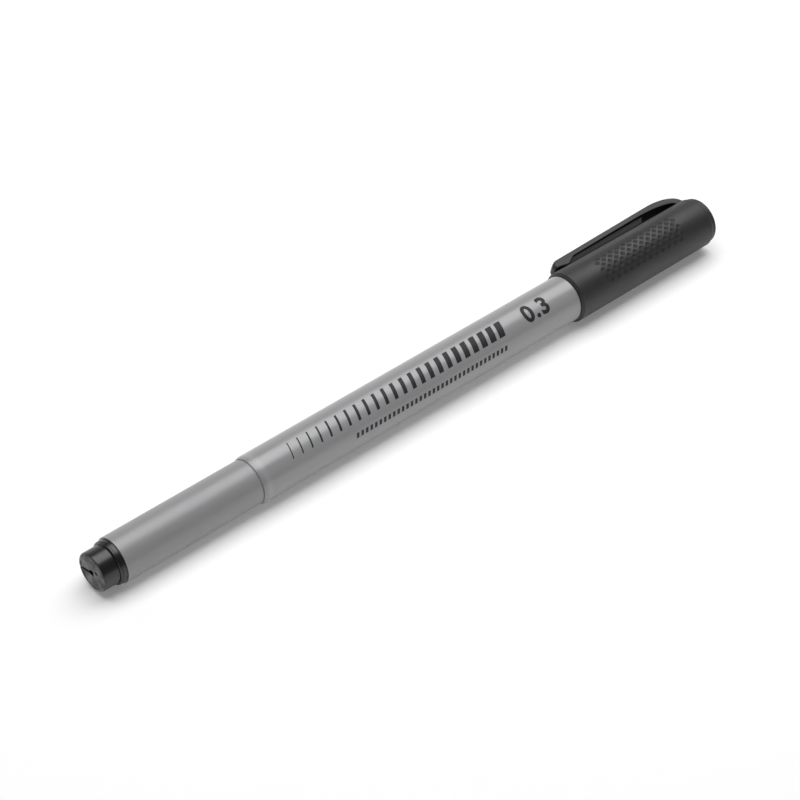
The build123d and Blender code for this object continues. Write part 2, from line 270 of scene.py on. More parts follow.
class NibSizes(bpy.types.PropertyGroup):
    """Nib section, steel sleeve and writing core."""

    back: place("Back", "Inner end of the section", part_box("nib_section")[0].x)
    front: place("Front", "End of the nose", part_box("nib_section")[1].x)
    radius: place("Radius", "Outside of the body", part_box("nib_section")[1].y)
    insert_radius: length("Insert radius", "Part pressed into the barrel", 3.42)
    land_start: length("Land start", "Where the seal land begins", 117.25)
    land_length: length("Land length", "Length of the seal land", 4.0)
    land_step: length("Land step", "How far the land steps in from the body", 0.3)
    cone_step: length("Cone step", "How far the cone steps in from the land", 0.8)
    cone_length: length("Cone length", "Length of the cone", 6.0)
    cone_front_radius: length("Cone front radius", "Small end of the cone", 1.3)
    nose_radius: length("Nose radius", "Front of the nose", 1.0)
    feed_radius: length("Feed bore", "Bore for the feed rod", 0.9)
    body_round: length("Body rounding", "Front edge of the body", 0.25)
    land_round: length("Land rounding", "Front edge of the land", 0.4)
    nose_round: length("Nose rounding", "Front edge of the nose", 0.2)
    sleeve_taper: length("Sleeve taper", "Drawn-in front of the sleeve", 0.8)
    sleeve_front_radius: length("Sleeve front radius", "Front of the sleeve", 0.38)
    core_gap: length("Core gap", "Clearance of the core in the sleeve", 0.02)
    tip_radius: length("Tip radius", "Writing tip", 0.15)
    tip_round: length("Tip rounding", "Edge of the writing tip", 0.08)
    tint: colour("Black", "Body colour of the section", (0.026, 0.026, 0.028))
    steel: colour("Steel", "Colour of the sleeve", (0.58, 0.57, 0.55))
    core_tint: colour("Core", "Colour of the inked writing core", (0.05, 0.05, 0.052))


class CapSizes(bpy.types.PropertyGroup):
    """Cap shell, inner cap and end plug."""

    mouth: place("Mouth", "Open end of the cap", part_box("cap_shell")[0].x)
    end: place("End", "Closed end of the shell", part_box("cap_shell")[1].x)
    front: place("Front", "Face of the end plug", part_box("cap_end_plug")[1].x)
    liner_back: place("Liner start", "Open end of the inner cap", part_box("inner_cap")[0].x)
    liner_front: place("Liner end", "Closed end of the inner cap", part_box("inner_cap")[1].x)
    disc_radius: place("Disc radius", "Outside of the end plug's disc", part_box("cap_end_plug")[1].y)
    mouth_radius: length("Mouth radius", "Outside of the shell at its mouth", 4.8)
    end_radius: length("End radius", "Outside of the shell at its end", 4.71)
    bore_radius: length("Bore radius", "Bore that slides on the neck", 4.08)
    liner_radius: length("Liner radius", "Bore that holds the inner cap", 4.0)
    mouth_bevel: length("Mouth bevel", "Outer edge of the mouth", 0.45)
    bevel_round: length("Bevel rounding", "Edges of the mouth's bevel", 0.06)
    rub_offset: length("Rub offset", "From the mouth to its rubbed edge", 0.54)
    rub_width: length("Rub width", "Width of the mouth's rubbed edge", 0.15)
    mouth_lead: length("Mouth lead-in", "Inner edge of the mouth", 0.12)
    end_round: length("End rounding", "Edge of the shell's end", 0.5)
    disc_round: length("Disc rounding", "Edge of the disc", 0.35)
    seal_radius: length("Seal bore", "Bore of the inner cap on the seal land", 3.45)
    seal_end: length("Seal end", "Where the seal bore ends", 121.9)
    liner_end_radius: length("Liner end radius", "Far end of the inner cap's hollow", 2.9)
    liner_wall: length("Liner wall", "Closed end of the inner cap", 1.0)
    core_radius: length("Core radius", "Hollow of the end plug", 2.8)
    plug_floor: length("Plug floor", "Thickness of the end plug's face", 1.4)
    tint: colour("Charcoal", "Body colour of the satin cap", (0.02, 0.02, 0.0216))
    # The pits' colour is painted shade: darker than the cap's, for the shade that falls in them.
    pit_painted_shade_tint: colour("Pits", "Colour in the pits", (0.016, 0.016, 0.0173))
    # The underside's colour is painted shade, far darker than the cap's.
    underside_painted_shade_tint: colour("Underside", "Colour under the clip", (0.004, 0.004, 0.0043))
    # The spine's colour is painted shade, darker than the cap's.
    spine_painted_shade_tint: colour("Spine", "Colour of the clip's spine", (0.014, 0.014, 0.015))
    liner_tint: colour("Liner", "Colour of the inner cap", (0.55, 0.55, 0.54))


class KnurlSizes(bpy.types.PropertyGroup):
    """Diamond pits on both sides of the cap."""

    middle: length("Middle", "Middle of the pits along the axis", 120.7)
    pitch: length("Pitch", "Distance of the pits along a row", 1.64)
    per_row: count("Pits per row", "Pits in the longer rows", 13)
    rows: count("Rows", "Rows of pits on each side", 7)
    row_pitch: turn("Row pitch", "Angle between rows", 9.4)
    from_clip: turn("From clip", "Angle from the clip to the middle row", 105.2)
    depth: length("Depth", "Depth of a pit", 0.12)
    rim: share("Rim", "Size of a pit at the skin, as a share of its cell", 0.78)
    floor: share("Floor", "Size of a pit's floor, as a share of its cell", 0.24)
    clip_angle: turn("Clip angle", "Direction of the clip round the axis", -75.0)
    columns: count("Columns", "Columns of the cap's skin", 360)


class ClipSizes(bpy.types.PropertyGroup):
    """Clip: strap with a ramped pad at its tip, a spine under it and an arched root."""

    tip: place("Tip", "Free end of the clip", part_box("clip")[0].x)
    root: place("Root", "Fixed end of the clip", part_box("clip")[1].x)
    tip_width: length("Tip width", "Width at the tip", 3.0)
    root_width: length("Root width", "Width at the root", 3.6)
    tip_rise: length("Tip rise", "Outside of the tip over the cap", 1.9)
    arch_rise: length("Arch rise", "Outside of the arch over the cap", 2.28)
    thickness: length("Thickness", "Thickness of the strap", 1.03)
    tip_depth: length("Tip depth", "Height of the tip's end", 1.4)
    pad_ramp: length("Pad ramp", "From the tip to the pad's lowest place", 2.8)
    pad_slope: length("Pad slope", "From the pad's lowest place to the strap", 2.0)
    pad_sink: length("Pad sink", "How far the pad presses on the cap", 0.05)
    arch_length: length("Arch length", "Length of the arch outside", 6.8)
    inner_arch_lead: length("Inner arch lead", "How much sooner the arch starts inside", 3.7)
    root_thickness: length("Root thickness", "Thickness at the root", 1.5)
    root_sink: length("Root sink", "How far the root reaches into the cap's end", 0.1)
    root_gap: length("Root gap", "Clearance from the clip to the cap", 0.06)
    tip_round: length("Tip rounding", "Outer corner of the tip, from the side", 0.9)
    plan_round: length("Plan rounding", "Corners of the tip, from above", 0.9)
    edge_round: length("Edge rounding", "Long edges of the strap", 0.18)
    bend_round: length("Bend rounding", "Bend from the pad to the strap", 0.8)
    pad_round: length("Pad rounding", "Lower edges of the pad", 0.4)
    spine_width: length("Spine width", "Width of the spine under the strap", 2.4)
    spine_gap: length("Spine gap", "From the spine to the cap", 0.2)
    spine_reach: length("Spine reach", "How far the spine runs into the arch", 1.5)
    spine_slope: length("Spine slope", "Sloping end of the spine", 1.2)
    spine_root: length("Spine root", "How far the spine reaches into the strap", 0.2)


class StageSettings(bpy.types.PropertyGroup):
    """Floor, lights and camera."""

    floor_size: length("Floor size", "Side of the floor", 6000.0)
    floor_cap: length("Floor at the cap", "Level of the floor under the cap's mouth", -4.803)
    floor_tail: length("Floor at the tail", "Level of the floor under the barrel's tail", -4.033)
    floor_tint: colour("Floor", "Colour of the floor", (0.86, 0.86, 0.86))
    camera_lens: share("Lens", "Focal length in millimetres", 102.52)
    camera_azimuth: turn("Azimuth", "Camera's direction from -Y towards +X", -42.37)
    camera_elevation: turn("Elevation", "Camera's height over the horizon", 39.75)
    camera_distance: length("Distance", "From the camera to its target", 382.4)
    target_along: length("Target along", "Camera's target along the axis", 63.2)
    target_across: length("Target across", "Camera's target across the axis", -1.2)
    light_height: length("Light height", "Height of the overhead lights", 600.0)
    light_far: turn("Far edge", "Far edge of the overhead lights, from straight up", 31.5)
    light_near: turn("Near edge", "Near edge of the overhead lights, from straight up", 17.0)
    light_start: length("Light start", "Tail end of the overhead lights", -250.0)
    light_seam: length("Light seam", "Where the two overhead lights meet", 360.0)
    light_end: length("Light end", "Cap end of the overhead lights", 950.0)
    tail_light: share("Tail light", "Brightness of the overhead light on the tail's side", 3.05)
    cap_light: share("Cap light", "Brightness of the overhead light on the cap's side", 2.57)
    backdrop_distance: length("Backdrop distance", "From the pen to the upright light behind it", 1200.0)
    backdrop_height: length("Backdrop height", "Height of the upright light", 700.0)
    backdrop_width: length("Backdrop width", "Width of the upright light", 3000.0)
    backdrop_middle: length("Backdrop middle", "Middle of the upright light along the axis", 700.0)
    backdrop_light: share("Backdrop light", "Brightness of the upright light", 0.6)
    surround: share("Surround", "Strength of the light from all sides", 0.126)
    floor_glow: share("Floor glow", "Light that shines up through the floor", 0.165)


class PenSettings(bpy.types.PropertyGroup):
    """All settings of the pen."""

    barrel: bpy.props.PointerProperty(type=BarrelSizes)
    print_marks: bpy.props.PointerProperty(type=PrintSizes)
    tail_plug: bpy.props.PointerProperty(type=TailPlugSizes)
    nib: bpy.props.PointerProperty(type=NibSizes)
    cap: bpy.props.PointerProperty(type=CapSizes)
    knurl: bpy.props.PointerProperty(type=KnurlSizes)
    clip: bpy.props.PointerProperty(type=ClipSizes)
    stage: bpy.props.PointerProperty(type=StageSettings)


# Meshes

def corner_arc(before, corner, after, rounding):
    """Points of the arc that rounds a corner between its neighbours."""
    back = (before - corner).normalized()
    on = (after - corner).normalized()
    half = back.angle(on) / 2
    centre = corner + (back + on).normalized() * rounding / math.sin(half)
    spoke = corner + back * rounding / math.tan(half) - centre
    sweep = math.copysign(math.pi - 2 * half, back.cross(on))
    points = []
    for step in range(ARC_STEPS + 1):
        angle = -sweep * step / ARC_STEPS
        arm = Vector((
            spoke.x * math.cos(angle) - spoke.y * math.sin(angle),
            spoke.x * math.sin(angle) + spoke.y * math.cos(angle),
        ))
        points.append(centre + arm)
    return points


def rounded(corners):
    """Points of a closed outline whose (x, radius, rounding) corners are turned into arcs.

    On a longer straight, a point next to each arc keeps the straight's shading level.
    """
    arcs = []
    for k, (x, radius, rounding) in enumerate(corners):
        corner = Vector((x, radius))
        if rounding == 0:
            arcs.append([corner])
            continue
        before = Vector(corners[k - 1][:2])
        after = Vector(corners[(k + 1) % len(corners)][:2])
        arcs.append(corner_arc(before, corner, after, rounding))
    points = []
    for arc, following in zip(arcs, arcs[1:] + arcs[:1]):
        points += arc
        straight = following[0] - arc[-1]
        if straight.length > LONG_STRAIGHT:
            support = straight.normalized() * SUPPORT
            if len(arc) > 1:
                points.append(arc[-1] + support)
            if len(following) > 1:
                points.append(following[0] - support)
    return points


def quarter(centre, reach):
    """Corners of a quarter ellipse round a centre, from its reach along the axis to its reach outwards."""
    turns = [math.pi / 2 * k / ARCH_STEPS for k in range(ARCH_STEPS + 1)]
    along = reach[0] - centre[0]
    out = reach[1] - centre[1]
    return [(centre[0] + along * math.cos(t), centre[1] + out * math.sin(t), 0) for t in turns]


def even_columns(columns):
    """Angles evenly spaced round the axis."""
    return [FULL_TURN * k / columns for k in range(columns)]


def turned_skin(outline, columns):
    """A closed bmesh turned round the X axis from an outline of (x, radius) points."""
    skin = bmesh.new()
    rings = []
    for x, radius in outline:
        angles = columns if radius > ON_AXIS else columns[:1]
        rings.append([
            skin.verts.new((x, -radius * math.sin(angle), radius * math.cos(angle))) for angle in angles
        ])
    for ring, following in zip(rings, rings[1:] + rings[:1]):
        for k in range(len(columns)):
            nearby = (ring[k % len(ring)], ring[(k + 1) % len(ring)])
            further = (following[(k + 1) % len(following)], following[k % len(following)])
            corners = list(dict.fromkeys(nearby + further))
            if len(corners) > 2:
                skin.faces.new(corners)
    bmesh.ops.recalc_face_normals(skin, faces=skin.faces)
    return skin


def placed(name, skin, material):
    """A scene object from a bmesh, smooth but for its sharp edges."""
    mesh = bpy.data.meshes.new(name)
    skin.to_mesh(mesh)
    skin.free()
    mesh.shade_smooth()
    mesh.set_sharp_from_angle(angle=SHARP_ANGLE)
    mesh.materials.append(material)
    piece = bpy.data.objects.new(name, mesh)
    bpy.context.scene.collection.objects.link(piece)
    return piece


def turned(name, corners, material, columns=ROUND_COLUMNS):
    """A piece turned round the X axis from (x, radius, rounding) corners."""
    return placed(name, turned_skin(rounded(corners), even_columns(columns)), material)


def baked_down(piece):
    """Replaces a piece's mesh by its evaluated one and removes its modifiers."""
    graph = bpy.context.evaluated_depsgraph_get()
    mesh = bpy.data.meshes.new_from_object(piece.evaluated_get(graph))
    piece.modifiers.clear()
    spare = piece.data
    piece.data = mesh
    mesh.name = piece.name
    bpy.data.meshes.remove(spare)
    mesh.shade_smooth()
    mesh.set_sharp_from_angle(angle=SHARP_ANGLE)
    return piece


def combined(piece, tool, operation):
    """Joins a tool to a piece or takes it out, keeps the tool's finish on its faces and drops the tool."""
    modifier = piece.modifiers.new("combined", "BOOLEAN")
    modifier.operation = operation
    modifier.solver = "EXACT"
    modifier.material_mode = "TRANSFER"
    modifier.object = tool
    baked_down(piece)
    spare = tool.data
    bpy.data.objects.remove(tool)
    bpy.data.meshes.remove(spare)
    return piece


def crisp(piece):
    """Marks the edges between a piece's finishes as sharp."""
    finishes = {}
    for face in piece.data.polygons:
        for key in face.edge_keys:
            finishes.setdefault(key, set()).add(face.material_index)
    for edge in piece.data.edges:
        if len(finishes[edge.key]) > 1:
            edge.use_edge_sharp = True
    return piece


def lofted(rings):
    """A closed bmesh through rings of places, with flat ends."""
    skin = bmesh.new()
    loops = [[skin.verts.new(spot) for spot in ring] for ring in rings]
    for loop, following in zip(loops, loops[1:]):
        for k in range(len(loop)):
            after = (k + 1) % len(loop)
            skin.faces.new((loop[k], loop[after], following[after], following[k]))
    skin.faces.new(loops[0])
    skin.faces.new(loops[-1])
    bmesh.ops.recalc_face_normals(skin, faces=skin.faces)
    return skin


def block(name, low, high, angle, material):
    """A block between two corners, turned about the X axis by an angle from +Y towards +Z."""
    skin = bmesh.new()
    bmesh.ops.create_cube(skin, size=1.0)
    middle = (Vector(low) + Vector(high)) / 2
    bmesh.ops.scale(skin, verts=skin.verts, vec=Vector(high) - Vector(low))
    bmesh.ops.translate(skin, verts=skin.verts, vec=middle)
    bmesh.ops.rotate(skin, verts=skin.verts, cent=(0, 0, 0), matrix=Matrix.Rotation(angle, 3, "X"))
    return placed(name, skin, material)


def finished(piece, body, slot, *nodes):
    """Lets a piece ride on its body and stand for its nodes; its slot is not used."""
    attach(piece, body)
    if nodes:
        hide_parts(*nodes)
    return piece


# Node trees

class Formula:
    """Adds Math nodes to a tree, so that a formula reads as one."""

    def __init__(self, tree):
        self.tree = tree

    def feed(self, socket, value):
        """Links a socket or sets a plain value."""
        if isinstance(value, bpy.types.NodeSocket):
            self.tree.links.new(value, socket)
        else:
            socket.default_value = value

    def math(self, operation, *values):
        """The result of one Math node."""
        node = self.tree.nodes.new("ShaderNodeMath")
        node.operation = operation
        for socket, value in zip(node.inputs, values):
            self.feed(socket, value)
        return node.outputs[0]

    def vector(self, operation, *values):
        """The result of one Vector Math node."""
        node = self.tree.nodes.new("ShaderNodeVectorMath")
        node.operation = operation
        for socket, value in zip(node.inputs, values):
            self.feed(socket, value)
        return node.outputs[0]

    def hump(self, value, middle, width):
        """A smooth hump: one at the middle, nothing at a width from it."""
        off = self.math("ABSOLUTE", self.math("SUBTRACT", value, middle))
        away = self.math("MINIMUM", self.math("DIVIDE", off, width), 1.0)
        near = self.math("MULTIPLY_ADD", away, self.math("MULTIPLY", away, -1.0), 1.0)
        return self.math("MULTIPLY", near, near)

    def noise(self, spot, scale, detail):
        """Noise at a place."""
        return self.node("ShaderNodeTexNoise", Vector=spot, Scale=scale, Detail=detail).outputs["Fac"]

    def node(self, kind, **values):
        """A node with its inputs fed by name."""
        node = self.tree.nodes.new(kind)
        for name, value in values.items():
            self.feed(node.inputs[name.replace("_", " ")], value)
        return node


def geometry_tree(name, inputs):
    """A Geometry Nodes tree with a geometry in and out and the named inputs."""
    tree = bpy.data.node_groups.new(name, "GeometryNodeTree")
    tree.interface.new_socket(name="Geometry", in_out="INPUT", socket_type="NodeSocketGeometry")
    for label, kind in inputs:
        tree.interface.new_socket(name=label, in_out="INPUT", socket_type=kind)
    tree.interface.new_socket(name="Geometry", in_out="OUTPUT", socket_type="NodeSocketGeometry")
    source = tree.nodes.new("NodeGroupInput")
    return tree, Formula(tree), source.outputs


def end_tree(tree, formula, geometry, material):
    """Ends a tree in Realize Instances and Set Material."""
    realize = formula.node("GeometryNodeRealizeInstances", Geometry=geometry)
    paint = formula.node("GeometryNodeSetMaterial", Geometry=realize.outputs[0], Material=material)
    sink = tree.nodes.new("NodeGroupOutput")
    tree.links.new(paint.outputs[0], sink.inputs[0])


def run_tree(piece, tree, values):
    """Runs a tree on a piece with its inputs set by identifier, and keeps the plain result as its mesh."""
    modifier = piece.modifiers.new(tree.name, "NODES")
    modifier.node_group = tree
    for item in tree.interface.items_tree:
        if item.in_out == "INPUT" and item.name in values:
            modifier[item.identifier] = values[item.name]
    return baked_down(piece)


def round_axis(formula, along, angle, radius):
    """A place at an angle round the axis."""
    across = formula.math("MULTIPLY", formula.math("SINE", angle), formula.math("MULTIPLY", radius, -1.0))
    up = formula.math("MULTIPLY", formula.math("COSINE", angle), radius)
    return formula.node("ShaderNodeCombineXYZ", X=along, Y=across, Z=up).outputs[0]


def rib_tree():
    """Adds ribs along a bore to a tube."""
    tree, formula, given = geometry_tree("ribs along a bore", (
        ("Count", "NodeSocketInt"), ("Start", "NodeSocketFloat"), ("Length", "NodeSocketFloat"),
        ("Width", "NodeSocketFloat"), ("Height", "NodeSocketFloat"), ("Inner radius", "NodeSocketFloat"),
        ("First angle", "NodeSocketFloat"), ("Material", "NodeSocketMaterial"),
    ))
    size = formula.node("ShaderNodeCombineXYZ", X=given["Length"], Y=given["Width"], Z=given["Height"])
    bar = formula.node("GeometryNodeMeshCube", Size=size.outputs[0])
    along = formula.math("MULTIPLY_ADD", given["Length"], 0.5, given["Start"])
    up = formula.math("MULTIPLY_ADD", given["Height"], 0.5, given["Inner radius"])
    shift = formula.node("ShaderNodeCombineXYZ", X=along, Z=up)
    moved = formula.node("GeometryNodeTransform", Geometry=bar.outputs["Mesh"], Translation=shift.outputs[0])
    step = formula.math("DIVIDE", FULL_TURN, given["Count"])
    index = formula.node("GeometryNodeInputIndex").outputs[0]
    angle = formula.math("MULTIPLY_ADD", index, step, given["First angle"])
    spin = formula.node("ShaderNodeCombineXYZ", X=angle)
    seats = formula.node("GeometryNodePoints", Count=given["Count"])
    ribs = formula.node(
        "GeometryNodeInstanceOnPoints",
        Points=seats.outputs[0], Instance=moved.outputs[0], Rotation=spin.outputs[0],
    )
    joined = tree.nodes.new("GeometryNodeJoinGeometry")
    tree.links.new(ribs.outputs[0], joined.inputs[0])
    tree.links.new(given["Geometry"], joined.inputs[0])
    end_tree(tree, formula, joined.outputs[0], given["Material"])
    return tree


def pit_tree():
    """Diamond cutters in staggered rows on both sides of a slightly tapered cap."""
    tree, formula, given = geometry_tree("diamond pits", (
        ("Per row", "NodeSocketInt"), ("Rows", "NodeSocketInt"), ("Middle", "NodeSocketFloat"),
        ("Pitch", "NodeSocketFloat"), ("Row pitch", "NodeSocketFloat"), ("From clip", "NodeSocketFloat"),
        ("Clip angle", "NodeSocketFloat"), ("Radius", "NodeSocketFloat"), ("Taper", "NodeSocketFloat"),
        ("Depth", "NodeSocketFloat"), ("Rim", "NodeSocketFloat"), ("Floor", "NodeSocketFloat"),
        ("Material", "NodeSocketMaterial"),
    ))
    per_side = formula.math("MULTIPLY", given["Per row"], given["Rows"])
    index = formula.node("GeometryNodeInputIndex").outputs[0]
    side = formula.math("FLOOR", formula.math("DIVIDE", index, per_side))
    on_side = formula.math("MULTIPLY_ADD", side, formula.math("MULTIPLY", per_side, -1.0), index)
    row = formula.math("FLOOR", formula.math("DIVIDE", on_side, given["Per row"]))
    column = formula.math("MODULO", on_side, given["Per row"])
    last_row = formula.math("SUBTRACT", given["Rows"], 1.0)
    from_middle = formula.math("MULTIPLY_ADD", last_row, -0.5, row)
    short = formula.math("MODULO", formula.math("ABSOLUTE", from_middle), 2.0)
    last_column = formula.math("SUBTRACT", given["Per row"], 1.0)
    step = formula.math("MULTIPLY_ADD", last_column, -0.5, column)
    step = formula.math("MULTIPLY_ADD", short, 0.5, step)
    offset = formula.math("MULTIPLY", step, given["Pitch"])
    along = formula.math("ADD", offset, given["Middle"])
    turned_by = formula.math("MULTIPLY_ADD", from_middle, given["Row pitch"], given["From clip"])
    way = formula.math("MULTIPLY_ADD", side, -2.0, 1.0)
    angle = formula.math("MULTIPLY_ADD", turned_by, way, given["Clip angle"])
    radius = formula.math("MULTIPLY_ADD", offset, given["Taper"], given["Radius"])
    seats = formula.node("GeometryNodePoints", Count=formula.math("MULTIPLY", per_side, 2.0))
    placed_seats = formula.node(
        "GeometryNodeSetPosition",
        Geometry=seats.outputs[0], Position=round_axis(formula, along, angle, radius),
    )
    wanted = formula.math("LESS_THAN", formula.math("ADD", column, short), given["Per row"])
    flare = formula.math("SUBTRACT", given["Rim"], given["Floor"])
    cone = formula.node(
        "GeometryNodeMeshCone",
        Vertices=4, Radius_Top=formula.math("ADD", given["Rim"], flare), Radius_Bottom=given["Floor"],
        Depth=formula.math("MULTIPLY", given["Depth"], 2.0),
    )
    sink = formula.node("ShaderNodeCombineXYZ", Z=formula.math("MULTIPLY", given["Depth"], -1.0))
    stretch = formula.node(
        "ShaderNodeCombineXYZ",
        X=formula.math("MULTIPLY", given["Pitch"], 0.5),
        Y=formula.math("MULTIPLY", given["Row pitch"], given["Radius"]), Z=1.0,
    )
    cutter = formula.node(
        "GeometryNodeTransform",
        Geometry=cone.outputs["Mesh"], Translation=sink.outputs[0], Scale=stretch.outputs[0],
    )
    spin = formula.node("ShaderNodeCombineXYZ", X=angle)
    pits = formula.node(
        "GeometryNodeInstanceOnPoints",
        Points=placed_seats.outputs[0], Selection=wanted,
        Instance=cutter.outputs[0], Rotation=spin.outputs[0],
    )
    end_tree(tree, formula, pits.outputs[0], given["Material"])
    return tree


def wrapped(tree, formula, flat, angle, radius, film):
    """Lays a flat mesh round the axis as a thin closed film that starts just under the surface."""
    spot = formula.node("GeometryNodeInputPosition").outputs[0]
    parts = formula.node("ShaderNodeSeparateXYZ", Vector=spot)
    base = formula.math("SUBTRACT", radius, film)
    bend = formula.math("DIVIDE", parts.outputs["Y"], radius)
    laid = formula.node(
        "GeometryNodeSetPosition", Geometry=flat,
        Position=round_axis(formula, parts.outputs["X"], formula.math("SUBTRACT", angle, bend), base),
    )
    raised = formula.node(
        "GeometryNodeExtrudeMesh",
        Mesh=laid.outputs[0], Offset_Scale=formula.math("MULTIPLY", film, 2.0), Individual=False,
    )
    under = formula.node("GeometryNodeFlipFaces", Mesh=laid.outputs[0])
    joined = tree.nodes.new("GeometryNodeJoinGeometry")
    tree.links.new(under.outputs[0], joined.inputs[0])
    tree.links.new(raised.outputs["Mesh"], joined.inputs[0])
    welded = formula.node("GeometryNodeMergeByDistance", Geometry=joined.outputs[0], Distance=WELD)
    return welded.outputs[0]


def stroke_tree():
    """A row of strokes along the barrel that grow from thin to bold."""
    tree, formula, given = geometry_tree("printed strokes", (
        ("Count", "NodeSocketInt"), ("Start", "NodeSocketFloat"), ("End", "NodeSocketFloat"),
        ("Thin", "NodeSocketFloat"), ("Bold", "NodeSocketFloat"), ("Height", "NodeSocketFloat"),
        ("Lean", "NodeSocketFloat"), ("Angle", "NodeSocketFloat"), ("Radius", "NodeSocketFloat"),
        ("Film", "NodeSocketFloat"), ("Material", "NodeSocketMaterial"),
    ))
    index = formula.node("GeometryNodeInputIndex").outputs[0]
    share_along = formula.math("DIVIDE", index, formula.math("SUBTRACT", given["Count"], 1.0))
    reach = formula.math("SUBTRACT", given["End"], given["Start"])
    along = formula.math("MULTIPLY_ADD", share_along, reach, given["Start"])
    growth = formula.math("SUBTRACT", given["Bold"], given["Thin"])
    width = formula.math("MULTIPLY_ADD", share_along, growth, given["Thin"])
    seats = formula.node("GeometryNodePoints", Count=given["Count"])
    spot = formula.node("ShaderNodeCombineXYZ", X=along)
    spread = formula.node("GeometryNodeSetPosition", Geometry=seats.outputs[0], Position=spot.outputs[0])
    sheet = formula.node(
        "GeometryNodeMeshGrid", Size_X=1.0, Size_Y=1.0, Vertices_X=2, Vertices_Y=STROKE_POINTS
    )
    size = formula.node("ShaderNodeCombineXYZ", X=width, Y=given["Height"], Z=1.0)
    strokes = formula.node(
        "GeometryNodeInstanceOnPoints",
        Points=spread.outputs[0], Instance=sheet.outputs["Mesh"], Scale=size.outputs[0],
    )
    flat = formula.node("GeometryNodeRealizeInstances", Geometry=strokes.outputs[0])
    here = formula.node("GeometryNodeInputPosition").outputs[0]
    height = formula.node("ShaderNodeSeparateXYZ", Vector=here).outputs["Y"]
    slant = formula.node("ShaderNodeCombineXYZ", X=formula.math("MULTIPLY", height, given["Lean"]))
    leaning = formula.node("GeometryNodeSetPosition", Geometry=flat.outputs[0], Offset=slant.outputs[0])
    film = wrapped(tree, formula, leaning.outputs[0], given["Angle"], given["Radius"], given["Film"])
    end_tree(tree, formula, film, given["Material"])
    return tree


def figure_tree():
    """Lays flat figures round the barrel."""
    tree, formula, given = geometry_tree("printed figures", (
        ("Angle", "NodeSocketFloat"), ("Radius", "NodeSocketFloat"), ("Film", "NodeSocketFloat"),
        ("Material", "NodeSocketMaterial"),
    ))
    film = wrapped(tree, formula, given["Geometry"], given["Angle"], given["Radius"], given["Film"])
    end_tree(tree, formula, film, given["Material"])
    return tree


# Materials

def with_wear_and_sheen(formula, spot, along, wear_and_sheen, shade, gloss):
    """Shade and gloss with a scuffed, duller look before a place along the axis; a large tint share there
    also paints a reflection.
    """
    before = formula.math("MULTIPLY_ADD", along, -1.0 / wear_and_sheen.blend, wear_and_sheen.end / wear_and_sheen.blend)
    before = formula.node("ShaderNodeClamp", Value=before).outputs[0]
    scuff = formula.noise(spot, SCUFF_SCALE, SCUFF_DETAIL)
    # The noise lies round one half, so the scuffs lie round one
    scuff = formula.math("MULTIPLY_ADD", scuff, 4.0 * wear_and_sheen.scuff_depth, 1.0 - 2.0 * wear_and_sheen.scuff_depth)
    patchy = formula.math("MULTIPLY", before, formula.math("MAXIMUM", scuff, 0.0))
    change = formula.math("MULTIPLY", shade, wear_and_sheen.tint_share - 1.0)
    shade = formula.math("MULTIPLY_ADD", patchy, change, shade)
    gloss = formula.math("MULTIPLY_ADD", before, wear_and_sheen.gloss_loss, gloss)
    return shade, gloss


def with_rub_and_glint(formula, along, cloud, band, shade, gloss):
    """Shade and gloss with an uneven lighter band round the axis, for a polished edge and, where only the
    shade is raised, for a painted highlight.
    """
    uneven = formula.math("MULTIPLY_ADD", cloud, RUB_AND_GLINT_SPREAD, RUB_AND_GLINT_LEAST)
    polish = formula.math("MULTIPLY", formula.hump(along, band.edge, band.width), uneven)
    shade = formula.math("MULTIPLY_ADD", polish, band.tint_gain, shade)
    gloss = formula.math("MULTIPLY_ADD", polish, -band.gloss_gain, gloss)
    return shade, gloss


def with_grip(formula, spot, along, grip, gloss):
    """Gloss with the polish of a grip at an angle round a tube and across from it."""
    across = formula.node("ShaderNodeMapping", Vector=spot, Rotation=(-grip.angle, 0.0, 0.0)).outputs[0]
    across = formula.node("ShaderNodeSeparateXYZ", Vector=across).outputs["Z"]
    side = formula.hump(formula.math("ABSOLUTE", across), grip.radius, grip.radius * GRIP_BAND)
    polish = formula.math("MULTIPLY", formula.hump(along, grip.middle, grip.width), side)
    return formula.math("MULTIPLY_ADD", polish, -grip.gloss_gain, gloss)


